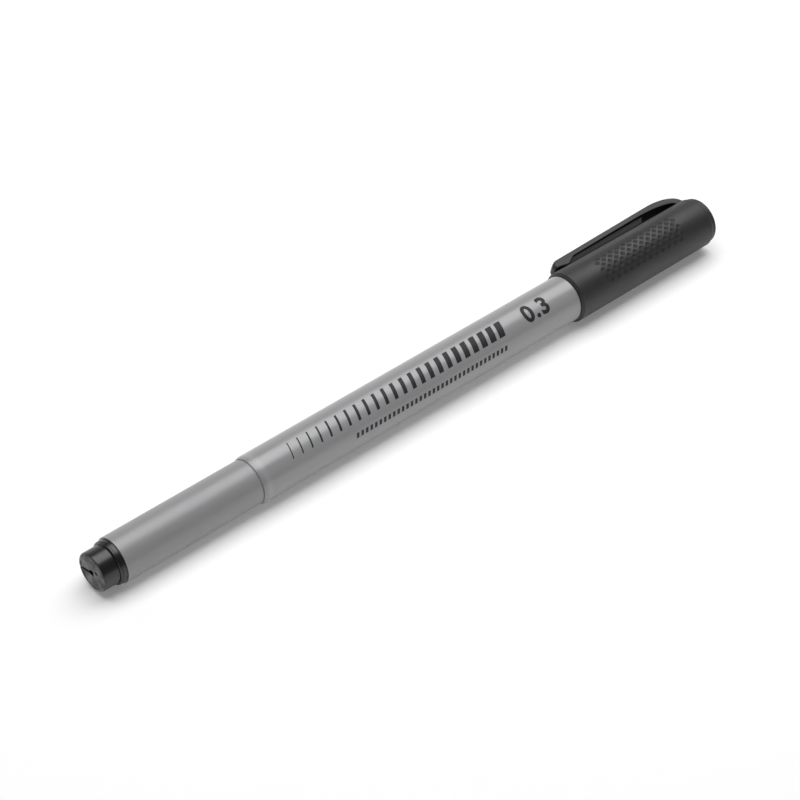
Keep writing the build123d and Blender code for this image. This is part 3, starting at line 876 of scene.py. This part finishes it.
def moulded(
    name, tint, roughness, grain, mottle=0.1, metallic=0.0, specular=0.5, wear_and_sheen=None, rubs_and_glints=(), grip=None
):
    """Moulded plastic: fine grain, faint mottle and flow lines, uneven gloss and light handling scratches."""
    material = bpy.data.materials.new(name)
    material.use_nodes = True
    tree = material.node_tree
    formula = Formula(tree)
    shader = tree.nodes["Principled BSDF"]
    shader.inputs["Metallic"].default_value = metallic
    shader.inputs["Specular IOR Level"].default_value = specular
    spot = tree.nodes.new("ShaderNodeTexCoord").outputs["Object"]
    along = formula.node("ShaderNodeSeparateXYZ", Vector=spot).outputs["X"]
    flow_spot = formula.node("ShaderNodeMapping", Vector=spot, Scale=FLOW_STRETCH).outputs[0]
    scratch_spot = formula.node(
        "ShaderNodeMapping", Vector=spot, Rotation=SCRATCH_TURN, Scale=SCRATCH_STRETCH
    ).outputs[0]
    flow = formula.noise(flow_spot, FLOW_SCALE, FLOW_DETAIL)
    cloud = formula.noise(spot, CLOUD_SCALE, CLOUD_DETAIL)
    fine = formula.noise(spot, grain, GRAIN_DETAIL)
    lines = formula.noise(scratch_spot, SCRATCH_SCALE, SCRATCH_DETAIL)
    scratches = formula.math("GREATER_THAN", lines, SCRATCH_LEVEL)
    shade = formula.math("MULTIPLY_ADD", flow, mottle, 1.0 - mottle / 2)
    shade = formula.math("MULTIPLY_ADD", fine, mottle, shade)
    shade = formula.math("MULTIPLY_ADD", scratches, mottle * SCRATCH_TINT, shade)
    gloss = formula.math("MULTIPLY_ADD", cloud, GLOSS_SPREAD, roughness - GLOSS_SPREAD / 2)
    gloss = formula.math("MULTIPLY_ADD", scratches, SCRATCH_DULLING, gloss)
    if wear_and_sheen:
        shade, gloss = with_wear_and_sheen(formula, spot, along, wear_and_sheen, shade, gloss)
    for band in rubs_and_glints:
        shade, gloss = with_rub_and_glint(formula, along, cloud, band, shade, gloss)
    if grip:
        gloss = with_grip(formula, spot, along, grip, gloss)
    base = formula.vector("SCALE", tuple(tint))
    formula.feed(base.node.inputs["Scale"], shade)
    tree.links.new(base, shader.inputs["Base Color"])
    tree.links.new(gloss, shader.inputs["Roughness"])
    height = formula.math("MULTIPLY_ADD", flow, FLOW_HEIGHT, fine)
    bump = formula.node("ShaderNodeBump", Strength=BUMP_STRENGTH, Distance=BUMP_DEPTH, Height=height)
    tree.links.new(bump.outputs["Normal"], shader.inputs["Normal"])
    return material


# Operators

class PEN_OT_barrel(bpy.types.Operator):
    """Build the satin barrel with its ribs"""

    bl_idname = "pen.barrel"
    bl_label = "Barrel"

    def execute(self, context):
        sizes = context.scene.pen.barrel
        shoulder = sizes.back + sizes.rear_length
        seat = shoulder + sizes.main_length
        material = moulded(
            "barrel satin silver", sizes.tint, roughness=0.31, grain=14000.0,
            mottle=0.06, metallic=0.15, specular=0.6,
            wear_and_sheen=WearAndSheen(shoulder, sizes.wear_blend, tint_share=0.92, gloss_loss=0.09, scuff_depth=0.1),
            rubs_and_glints=(
                Rub(sizes.back, RUB_WIDTH, tint_gain=0.1, gloss_gain=0.05),
                # Painted highlight: a lighter band on the shoulder, with no change of gloss, stands in for
                # its glint.
                Rub(shoulder + sizes.painted_glint_offset, sizes.shoulder_rise, tint_gain=0.13, gloss_gain=0.0),
                Rub(seat, RUB_WIDTH, tint_gain=0.1, gloss_gain=0.05),
            ),
        )
        spigot = sizes.radius - sizes.spigot_step
        bore = spigot - sizes.wall
        rise = sizes.radius - spigot - sizes.shoulder_foot
        curve = (sizes.shoulder_rise ** 2 + rise ** 2) / (2 * rise)
        sweep = math.asin(sizes.shoulder_rise / curve)
        top = shoulder + sizes.shoulder_rise
        hump = []
        for k in range(ARCH_STEPS + 1):
            lean = sweep * (1 - k / ARCH_STEPS)
            hump.append((top - curve * math.sin(lean), sizes.radius - curve * (1 - math.cos(lean)), 0))
        corners = [
            (sizes.back, bore, 0),
            (sizes.back, spigot, sizes.edge_round),
            (shoulder - sizes.groove_width, spigot, sizes.edge_round),
            (shoulder - sizes.groove_width, spigot - sizes.groove_depth, 0),
            (shoulder, spigot - sizes.groove_depth, 0),
            *hump,
            (top + sizes.shoulder_rise, sizes.radius, 0),
            (seat, sizes.radius, sizes.seat_round),
            (seat, spigot, 0),
            (sizes.front, spigot, sizes.lead_in),
            (sizes.front, bore, 0),
        ]
        barrel = turned("barrel_shell", corners, material)
        run_tree(barrel, rib_tree(), {
            "Count": sizes.rib_count,
            "Start": sizes.rib_back,
            "Length": sizes.rib_front - sizes.rib_back,
            "Width": sizes.rib_width,
            "Height": sizes.rib_height + sizes.rib_root,
            "Inner radius": bore - sizes.rib_height,
            "First angle": FULL_TURN / sizes.rib_count / 2,
            "Material": material,
        })
        finished(barrel, "pen", "barrel_grey", "barrel")
        return {"FINISHED"}


class PEN_OT_print(bpy.types.Operator):
    """Print line-weight strokes, a dashed rule and a width number on the barrel"""

    bl_idname = "pen.print_marks"
    bl_label = "Print"

    def execute(self, context):
        pen = context.scene.pen
        sizes = pen.print_marks
        ink = moulded("print ink", sizes.tint, roughness=0.5, grain=6000.0, mottle=0.3, specular=0.3)
        strokes = placed("line_weight_strokes", bmesh.new(), ink)
        shared = {"Radius": pen.barrel.radius, "Film": sizes.film, "Material": ink}
        row = stroke_tree()
        run_tree(strokes, row, {
            "Count": sizes.stroke_count,
            "Start": sizes.stroke_start,
            "End": sizes.stroke_end,
            "Thin": sizes.stroke_thin,
            "Bold": sizes.stroke_bold,
            "Height": sizes.stroke_height,
            "Lean": sizes.stroke_lean,
            "Angle": sizes.stroke_angle,
            **shared,
        })
        dashes = placed("dashed_rule", bmesh.new(), ink)
        run_tree(dashes, row, {
            "Count": sizes.dash_count,
            "Start": sizes.dash_start,
            "End": sizes.dash_end,
            "Thin": sizes.dash_width,
            "Bold": sizes.dash_width,
            "Height": sizes.dash_height,
            "Lean": sizes.stroke_lean,
            "Angle": sizes.dash_angle,
            **shared,
        })
        figures = self.flat_figures(sizes, ink)
        run_tree(figures, figure_tree(), {"Angle": sizes.number_angle, **shared})
        for piece in (strokes, dashes, figures):
            finished(piece, "pen", None)
        return {"FINISHED"}

    def flat_figures(self, sizes, ink):
        """The number as a flat mesh, cut into slices so that it can be laid round the barrel."""
        lettering = bpy.data.curves.new("number", "FONT")
        lettering.body = sizes.number
        lettering.size = sizes.number_height / FIGURE_SHARE
        lettering.offset = sizes.number_weight
        lettering.space_character = sizes.number_spacing
        writer = bpy.data.objects.new("number", lettering)
        bpy.context.scene.collection.objects.link(writer)
        graph = bpy.context.evaluated_depsgraph_get()
        mesh = bpy.data.meshes.new_from_object(writer.evaluated_get(graph))
        bpy.data.objects.remove(writer)
        bpy.data.curves.remove(lettering)
        skin = bmesh.new()
        skin.from_mesh(mesh)
        bpy.data.meshes.remove(mesh)
        left = min(vertex.co.x for vertex in skin.verts)
        middle = sizes.number_height / 2
        bmesh.ops.translate(skin, verts=skin.verts, vec=(sizes.number_start - left, -middle, 0))
        for k in range(1, FIGURE_SLICES):
            level = sizes.number_height * (k / FIGURE_SLICES - 0.5)
            everything = skin.verts[:] + skin.edges[:] + skin.faces[:]
            bmesh.ops.bisect_plane(skin, geom=everything, plane_co=(0, level, 0), plane_no=(0, 1, 0))
        return placed("width_number", skin, ink)


class PEN_OT_tail_plug(bpy.types.Operator):
    """Build the semi-gloss tail plug with its vent, slit and ejector mark"""

    bl_idname = "pen.tail_plug"
    bl_label = "Tail plug"

    def execute(self, context):
        pen = context.scene.pen
        sizes = pen.tail_plug
        seam = pen.barrel.back
        material = moulded(
            "tail plug black", sizes.tint, roughness=0.29, grain=9000.0, mottle=0.2, specular=0.65,
            # The end face is scuffed wear, and its seventeenfold lighter colour is also a painted reflection
            # of the bright surroundings.
            wear_and_sheen=WearAndSheen(sizes.scuff_and_sheen_end, sizes.scuff_and_sheen_blend, tint_share=17.0, gloss_loss=0.3, scuff_depth=1.4),
            rubs_and_glints=(Rub(sizes.collar_back, RUB_WIDTH, tint_gain=0.5, gloss_gain=0.03),),
        )
        dull = moulded("mark dull", sizes.mark_tint, roughness=0.5, grain=9000.0, mottle=0.2)
        end_radius = sizes.collar_radius - sizes.end_step
        recess = end_radius - sizes.rim_width
        groove = sizes.collar_back + sizes.groove_offset
        corners = [
            (sizes.recess_depth, 0, 0),
            (sizes.recess_depth, recess, 0),
            (0, recess, sizes.edge_round),
            (0, end_radius, sizes.end_round),
            (sizes.collar_back, end_radius, 0),
            (sizes.collar_back, sizes.collar_radius, sizes.collar_round),
            (groove, sizes.collar_radius, 0),
            (groove, sizes.collar_radius - sizes.groove_depth, 0),
            (groove + sizes.groove_width, sizes.collar_radius - sizes.groove_depth, 0),
            (groove + sizes.groove_width, sizes.collar_radius, sizes.edge_round),
            (seam, sizes.collar_radius, sizes.edge_round),
            (seam, sizes.insert_radius, 0),
            (sizes.front, sizes.insert_radius, 0),
            (sizes.front, sizes.bore_radius, 0),
            (sizes.end_wall, sizes.bore_radius, 0),
            (sizes.end_wall, 0, 0),
        ]
        plug = turned("tail_plug_body", corners, material)
        outside = -sizes.end_wall
        inside = 2 * sizes.end_wall
        half_vent = sizes.vent / 2
        vent = block("vent", (outside, -half_vent, -half_vent), (inside, half_vent, half_vent), 0, material)
        half_slit = sizes.slit_width / 2
        slit_end = (sizes.slit_depth, end_radius, half_slit)
        slit = block("slit", (outside, 0, -half_slit), slit_end, sizes.slit_angle, material)
        mark_floor = sizes.recess_depth + sizes.dot_depth
        mark = turned("mark", [
            (outside, 0, 0),
            (outside, sizes.dot_radius, 0),
            (mark_floor, sizes.dot_radius, 0),
            (mark_floor, 0, 0),
        ], dull, SMALL_COLUMNS)
        aside = Vector((0, math.cos(sizes.dot_angle), math.sin(sizes.dot_angle))) * sizes.dot_offset
        mark.data.transform(Matrix.Translation(aside))
        for cutter in (vent, slit, mark):
            combined(plug, cutter, "DIFFERENCE")
        finished(plug, "pen", "plug_black", "tail_plug")
        return {"FINISHED"}


class PEN_OT_ink_train(bpy.types.Operator):
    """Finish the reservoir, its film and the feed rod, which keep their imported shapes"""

    bl_idname = "pen.ink_train"
    bl_label = "Ink train"

    def execute(self, context):
        fibre = moulded("bonded fibre", FIBRE_TINT, roughness=0.85, grain=4000.0, mottle=0.35)
        film = moulded("wrap film", FILM_TINT, roughness=0.2, grain=2500.0, mottle=0.08)
        for name, material in (("ink_reservoir", fibre), ("feed_rod", fibre), ("reservoir_film", film)):
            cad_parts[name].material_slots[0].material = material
        return {"FINISHED"}


class PEN_OT_nib(bpy.types.Operator):
    """Build the nib section, steel sleeve and writing core"""

    bl_idname = "pen.nib"
    bl_label = "Nib"

    def execute(self, context):
        pen = context.scene.pen
        sizes = pen.nib
        black = moulded("section black", sizes.tint, roughness=0.4, grain=8000.0, mottle=0.2)
        steel = moulded("drawn steel", sizes.steel, roughness=0.28, grain=12000.0, metallic=1.0)
        stained = moulded("stained core", sizes.core_tint, roughness=0.6, grain=9000.0, mottle=0.3)
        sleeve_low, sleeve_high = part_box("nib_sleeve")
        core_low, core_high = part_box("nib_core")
        barrel_front = pen.barrel.front
        cone = sizes.land_start + sizes.land_length
        nose = cone + sizes.cone_length
        land = sizes.radius - sizes.land_step
        section = [
            (sizes.back, sizes.feed_radius, 0),
            (sizes.back, sizes.insert_radius, 0),
            (barrel_front, sizes.insert_radius, 0),
            (barrel_front, sizes.radius, 0),
            (sizes.land_start, sizes.radius, sizes.body_round),
            (sizes.land_start, land, 0),
            (cone, land, sizes.land_round),
            (cone, land - sizes.cone_step, 0),
            (nose, sizes.cone_front_radius, 0),
            (sizes.front, sizes.nose_radius, sizes.nose_round),
            (sizes.front, sleeve_high.y, 0),
            (sleeve_low.x, sleeve_high.y, 0),
            (sleeve_low.x, sizes.feed_radius, 0),
        ]
        taper = sleeve_high.x - sizes.sleeve_taper
        core_bore = core_high.y + sizes.core_gap
        tip_bore = sizes.tip_radius + sizes.core_gap
        sleeve = [
            (sleeve_low.x, core_bore, 0),
            (sleeve_low.x, sleeve_high.y, 0),
            (taper, sleeve_high.y, sizes.tip_round),
            (sleeve_high.x, sizes.sleeve_front_radius, sizes.tip_round),
            (sleeve_high.x, tip_bore, 0),
            (taper, tip_bore, 0),
            (taper, core_bore, 0),
        ]
        core = [
            (core_low.x, 0, 0),
            (core_low.x, core_high.y, 0),
            (taper, core_high.y, 0),
            (taper, sizes.tip_radius, 0),
            (core_high.x, sizes.tip_radius, sizes.tip_round),
            (core_high.x, 0, 0),
        ]
        finished(turned("nib_section_body", section, black), "pen", "section_black", "nib_section")
        finished(turned("nib_sleeve_tube", sleeve, steel, SMALL_COLUMNS), "pen", "steel", "nib_sleeve")
        finished(turned("nib_core_rod", core, stained, SMALL_COLUMNS), "pen", "nib_polymer", "nib_core")
        return {"FINISHED"}


class PEN_OT_cap(bpy.types.Operator):
    """Build the satin cap shell with its knurled sides, the inner cap and the end plug"""

    bl_idname = "pen.cap"
    bl_label = "Cap"

    def execute(self, context):
        sizes = context.scene.pen.cap
        knurl = context.scene.pen.knurl
        grip_width = GRIP_SPREAD * knurl.pitch * knurl.per_row
        grip_angle = knurl.clip_angle + FULL_TURN / 4
        charcoal = moulded(
            "cap charcoal", sizes.tint, roughness=0.5, grain=7000.0, mottle=0.2,
            rubs_and_glints=(
                Rub(sizes.mouth + sizes.rub_offset, sizes.rub_width, tint_gain=0.3, gloss_gain=0.05),
                Rub(sizes.end, RUB_WIDTH, tint_gain=0.3, gloss_gain=0.05),
            ),
            grip=Grip(knurl.middle, grip_width, grip_angle, sizes.mouth_radius, gloss_gain=0.14),
        )
        natural = moulded("liner natural", sizes.liner_tint, roughness=0.5, grain=5000.0)
        taper = (sizes.end_radius - sizes.mouth_radius) / (sizes.end - sizes.mouth)
        bevel_radius = sizes.mouth_radius + taper * sizes.mouth_bevel
        shell = [
            (sizes.mouth, sizes.bore_radius, sizes.mouth_lead),
            (sizes.mouth, sizes.mouth_radius - sizes.mouth_bevel, sizes.bevel_round),
            (sizes.mouth + sizes.mouth_bevel, bevel_radius, sizes.bevel_round),
            (sizes.end, sizes.end_radius, sizes.end_round),
            (sizes.end, sizes.liner_radius, 0),
            (sizes.liner_back, sizes.liner_radius, 0),
            (sizes.liner_back, sizes.bore_radius, 0),
        ]
        liner = [
            (sizes.liner_back, sizes.seal_radius, 0),
            (sizes.liner_back, sizes.liner_radius, 0),
            (sizes.liner_front, sizes.liner_radius, 0),
            (sizes.liner_front, 0, 0),
            (sizes.liner_front - sizes.liner_wall, 0, 0),
            (sizes.liner_front - sizes.liner_wall, sizes.liner_end_radius, 0),
            (sizes.seal_end, sizes.seal_radius, 0),
        ]
        plug = [
            (sizes.liner_front, sizes.core_radius, 0),
            (sizes.liner_front, sizes.liner_radius, 0),
            (sizes.end, sizes.liner_radius, 0),
            (sizes.end, sizes.disc_radius, 0),
            (sizes.front, sizes.disc_radius, sizes.disc_round),
            (sizes.front, 0, 0),
            (sizes.front - sizes.plug_floor, 0, 0),
            (sizes.front - sizes.plug_floor, sizes.core_radius, 0),
        ]
        knurled = turned("cap_shell_knurled", shell, charcoal, knurl.columns)
        # Painted shade: the pits get a darker colour for the shade in them.
        pit_painted_shade_material = moulded(
            "pit painted shade", sizes.pit_painted_shade_tint, roughness=0.6, grain=7000.0, mottle=0.3, specular=0.35
        )
        pits = placed("pits", bmesh.new(), pit_painted_shade_material)
        run_tree(pits, pit_tree(), {
            "Per row": knurl.per_row,
            "Rows": knurl.rows,
            "Middle": knurl.middle,
            "Pitch": knurl.pitch,
            "Row pitch": knurl.row_pitch,
            "From clip": knurl.from_clip,
            "Clip angle": knurl.clip_angle,
            "Radius": sizes.mouth_radius + taper * (knurl.middle - sizes.mouth),
            "Taper": taper,
            "Depth": knurl.depth,
            "Rim": knurl.rim,
            "Floor": knurl.floor,
            "Material": pit_painted_shade_material,
        })
        finished(crisp(combined(knurled, pits, "DIFFERENCE")), "cap", "cap_black", "cap_shell")
        finished(turned("inner_cap_liner", liner, natural), "cap", "liner", "inner_cap")
        finished(turned("cap_end_disc", plug, charcoal), "cap", "cap_black", "cap_end_plug")
        return {"FINISHED"}


class PEN_OT_clip(bpy.types.Operator):
    """Build the clip with its pad, spine and arch"""

    bl_idname = "pen.clip"
    bl_label = "Clip"

    def execute(self, context):
        pen = context.scene.pen
        sizes = pen.clip
        cap = pen.cap
        satin = moulded("clip charcoal", cap.tint, roughness=0.48, grain=7000.0, mottle=0.2)
        # Painted shade: the strap's underside gets a far darker colour for the shade under the clip.
        painted_shade_matte = moulded(
            "clip underside painted shade", cap.underside_painted_shade_tint, roughness=0.8, grain=7000.0, mottle=0.3, specular=0.1
        )
        # Painted shade: the spine gets a darker colour for the shade between the strap and the cap.
        dull = moulded("spine painted shade", cap.spine_painted_shade_tint, roughness=0.6, grain=7000.0, mottle=0.3, specular=0.2)
        angle = pen.knurl.clip_angle
        self.outward = Vector((0, -math.sin(angle), math.cos(angle)))
        self.sideways = Vector((0, -math.cos(angle), -math.sin(angle)))
        tip_radius = cap.mouth_radius + sizes.tip_rise
        arch_radius = cap.mouth_radius + sizes.arch_rise
        root_radius = cap.disc_radius - sizes.root_sink
        pad = sizes.tip + sizes.pad_ramp
        strap = pad + sizes.pad_slope
        arch = sizes.root - sizes.arch_length
        inner_arch = arch - sizes.inner_arch_lead
        inner_root = sizes.root - sizes.root_thickness
        slope = (arch_radius - tip_radius) / (arch - sizes.tip)
        strap_radius = tip_radius + slope * (strap - sizes.tip) - sizes.thickness
        inner_radius = arch_radius - slope * (arch - inner_arch) - sizes.thickness
        outline = rounded([
            *quarter((arch, root_radius), (sizes.root, arch_radius)),
            (sizes.tip, tip_radius, sizes.tip_round),
            (sizes.tip, tip_radius - sizes.tip_depth, sizes.pad_round),
            (pad, cap.mouth_radius - sizes.pad_sink, sizes.pad_round),
            (strap, strap_radius, sizes.bend_round),
            *reversed(quarter((inner_arch, root_radius), (inner_root, inner_radius))),
        ])
        clip = placed("clip_strap", lofted(self.strap_rings(sizes, outline)), satin)
        spine_end = inner_arch + sizes.spine_reach
        spine_foot = (pad, spine_end - sizes.spine_slope)
        spine_top = [
            (spine_end, inner_radius + sizes.spine_root),
            (strap, strap_radius + sizes.spine_root),
            (pad, strap_radius + sizes.spine_root),
        ]
        spine_low = cap.mouth_radius + sizes.spine_gap
        slices = self.spine_slices(sizes.spine_width, spine_low, spine_foot, spine_top)
        combined(clip, placed("spine", lofted(slices), dull), "UNION")
        combined(clip, self.room(cap, sizes.root_gap, satin), "DIFFERENCE")
        self.paint_underside_shade(clip, painted_shade_matte, strap)
        finished(clip, "clip", "cap_black", "clip")
        return {"FINISHED"}

    def spot(self, x, radius, across):
        """A place on the clip: along the axis, out from it and across the clip."""
        return Vector((x, 0, 0)) + self.outward * radius + self.sideways * across

    def strap_rings(self, sizes, outline):
        """Rings across the strap, drawn in towards its edges and shortened at the corners of its tip."""
        inward = [
            (outline[(k + 1) % len(outline)] - outline[k - 1]).orthogonal().normalized()
            for k in range(len(outline))
        ]
        quarter_turns = [math.pi / 2 * k / ARC_STEPS for k in range(ARC_STEPS + 1)]
        edge = [
            (sizes.edge_round * (1 - math.cos(t)), sizes.edge_round * (1 - math.sin(t)))
            for t in quarter_turns
        ]
        plan = [(sizes.plan_round * (1 - math.cos(t)), 0) for t in quarter_turns]
        insets = [(0, sizes.edge_round + FLAT_RIM), *edge]
        insets += [inset for inset in plan if inset[0] > sizes.edge_round]
        widening = (sizes.root_width - sizes.tip_width) / 2 / (sizes.root - sizes.tip)
        rings = []
        for side, order in ((-1, insets), (1, reversed(insets))):
            for across, drawn_in in order:
                corner = max(sizes.plan_round - across, 0)
                shorter = sizes.plan_round - math.sqrt(sizes.plan_round ** 2 - corner ** 2)
                ring = []
                for point, normal in zip(outline, inward):
                    x, radius = point + normal * drawn_in
                    x += shorter * max(0, 1 - (x - sizes.tip) / (2 * sizes.plan_round))
                    half = sizes.tip_width / 2 + widening * (x - sizes.tip)
                    ring.append(self.spot(x, radius, side * (half - across)))
                rings.append(ring)
        return rings

    def spine_slices(self, width, foot_radius, foot, top):
        """Slices across the spine, whose foot follows the cap's curve."""
        slices = []
        for k in range(-ARC_STEPS, ARC_STEPS + 1):
            across = width / 2 * k / ARC_STEPS
            low = math.sqrt(foot_radius ** 2 - across ** 2)
            side = [(x, low) for x in foot] + top
            slices.append([self.spot(x, radius, across) for x, radius in side])
        return slices

    def room(self, cap, gap, material):
        """The room that the cap takes up, with a clearance round it."""
        return turned("room", [
            (cap.mouth, 0, 0),
            (cap.mouth, cap.mouth_radius + gap, 0),
            (cap.end + gap, cap.end_radius + gap, 0),
            (cap.end + gap, cap.disc_radius + gap, 0),
            (cap.front, cap.disc_radius + gap, 0),
            (cap.front, 0, 0),
        ], material)

    def paint_underside_shade(self, clip, painted_shade_matte, start):
        """Paints shade on the underside of the strap and its spine, from a place along the axis on, as a
        dark, rough finish.
        """
        clip.data.materials.append(painted_shade_matte)
        underside = len(clip.data.materials) - 1
        for face in clip.data.polygons:
            inwards = face.normal.dot(self.outward) < UNDERSIDE
            level = abs(face.normal.dot(self.sideways)) < EDGE_LEAN
            if inwards and level and face.center.x > start:
                face.material_index = underside


class PEN_OT_stage(bpy.types.Operator):
    """Set the pale floor, the soft lights, the surround and the camera"""

    bl_idname = "pen.stage"
    bl_label = "Stage"

    def execute(self, context):
        pen = context.scene.pen
        self.lay_floor(pen.stage, pen.barrel.back, pen.cap.mouth)
        self.hang_lights(pen.stage)
        self.set_surround(context.scene, pen.stage.surround)
        self.set_camera(context.scene, pen.stage)
        return {"FINISHED"}

    def lay_floor(self, sizes, tail, mouth):
        """A large floor, tilted so that the pen lies on its cap's mouth and on its barrel's tail."""
        skin = bmesh.new()
        bmesh.ops.create_grid(skin, x_segments=1, y_segments=1, size=sizes.floor_size / 2)
        slope = (sizes.floor_cap - sizes.floor_tail) / (mouth - tail)
        for corner in skin.verts:
            corner.co.z = sizes.floor_tail + slope * (corner.co.x - tail)
        pale = moulded("pale floor", sizes.floor_tint, roughness=0.7, grain=300.0, mottle=0.01)
        shader = pale.node_tree.nodes["Principled BSDF"]
        shader.inputs["Emission Color"].default_value = WHITE
        shader.inputs["Emission Strength"].default_value = sizes.floor_glow
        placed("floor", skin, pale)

    def hang_lights(self, sizes):
        """Two soft lights overhead, end to end, and an upright one behind the pen."""
        far = math.tan(sizes.light_far) * sizes.light_height
        near = -math.tan(sizes.light_near) * sizes.light_height
        for name, start, end, brightness in (
            ("tail side light", sizes.light_start, sizes.light_seam, sizes.tail_light),
            ("cap side light", sizes.light_seam, sizes.light_end, sizes.cap_light),
        ):
            centre = ((start + end) / 2, (far + near) / 2, sizes.light_height)
            self.panel_light(name, centre, end - start, far - near, 0, brightness)
        width = sizes.backdrop_width
        height = sizes.backdrop_height
        centre = (sizes.backdrop_middle, sizes.backdrop_distance, height / 2)
        self.panel_light("backdrop light", centre, width, height, -math.pi / 2, sizes.backdrop_light)

    def set_surround(self, scene, strength):
        """An even white light from all sides, and colours shown as they are."""
        world = bpy.data.worlds.new("surround")
        world.use_nodes = True
        background = world.node_tree.nodes["Background"]
        background.inputs["Color"].default_value = WHITE
        background.inputs["Strength"].default_value = strength
        scene.world = world
        scene.view_settings.view_transform = "Standard"

    def set_camera(self, scene, sizes):
        """A camera at the photo's viewing angle."""
        lens = bpy.data.cameras.new("camera")
        lens.lens = sizes.camera_lens
        lens.clip_start = sizes.camera_distance / CLIP_SHARE
        camera = bpy.data.objects.new("camera", lens)
        back = Vector((
            math.sin(sizes.camera_azimuth) * math.cos(sizes.camera_elevation),
            -math.cos(sizes.camera_azimuth) * math.cos(sizes.camera_elevation),
            math.sin(sizes.camera_elevation),
        ))
        target = Vector((sizes.target_along, sizes.target_across, 0))
        camera.location = target + back * sizes.camera_distance
        camera.rotation_euler = (-back).to_track_quat("-Z", "Y").to_euler()
        scene.collection.objects.link(camera)
        scene.camera = camera

    def panel_light(self, name, centre, width, height, tilt, brightness):
        """A soft rectangular light of even brightness that faces down, tilted about the X axis."""
        lamp = bpy.data.lights.new(name, "AREA")
        lamp.shape = "RECTANGLE"
        lamp.size = width
        lamp.size_y = height
        lamp.energy = brightness * math.pi * width * height
        holder = bpy.data.objects.new(name, lamp)
        holder.location = centre
        holder.rotation_euler = (tilt, 0, 0)
        bpy.context.scene.collection.objects.link(holder)


class VIEW3D_PT_pen(bpy.types.Panel):
    """Lists the pen's operators"""

    bl_label = "Fineliner pen"
    bl_idname = "VIEW3D_PT_pen"
    bl_space_type = "VIEW_3D"
    bl_region_type = "UI"
    bl_category = "Pen"

    def draw(self, context):
        for operator in OPERATORS:
            self.layout.operator(operator.bl_idname)


GROUPS = (
    BarrelSizes, PrintSizes, TailPlugSizes, NibSizes, CapSizes, KnurlSizes, ClipSizes, StageSettings,
    PenSettings
)
OPERATORS = (
    PEN_OT_barrel, PEN_OT_print, PEN_OT_tail_plug, PEN_OT_ink_train, PEN_OT_nib, PEN_OT_cap, PEN_OT_clip,
    PEN_OT_stage
)


def register():
    for kind in GROUPS + OPERATORS + (VIEW3D_PT_pen,):
        bpy.utils.register_class(kind)
    bpy.types.Scene.pen = bpy.props.PointerProperty(type=PenSettings)


def unregister():
    del bpy.types.Scene.pen
    for kind in reversed(GROUPS + OPERATORS + (VIEW3D_PT_pen,)):
        bpy.utils.unregister_class(kind)


def main():
    register()
    bpy.ops.pen.barrel()
    bpy.ops.pen.print_marks()
    bpy.ops.pen.tail_plug()
    bpy.ops.pen.ink_train()
    bpy.ops.pen.nib()
    bpy.ops.pen.cap()
    bpy.ops.pen.clip()
    bpy.ops.pen.stage()


if __name__ == "__main__":
    main()
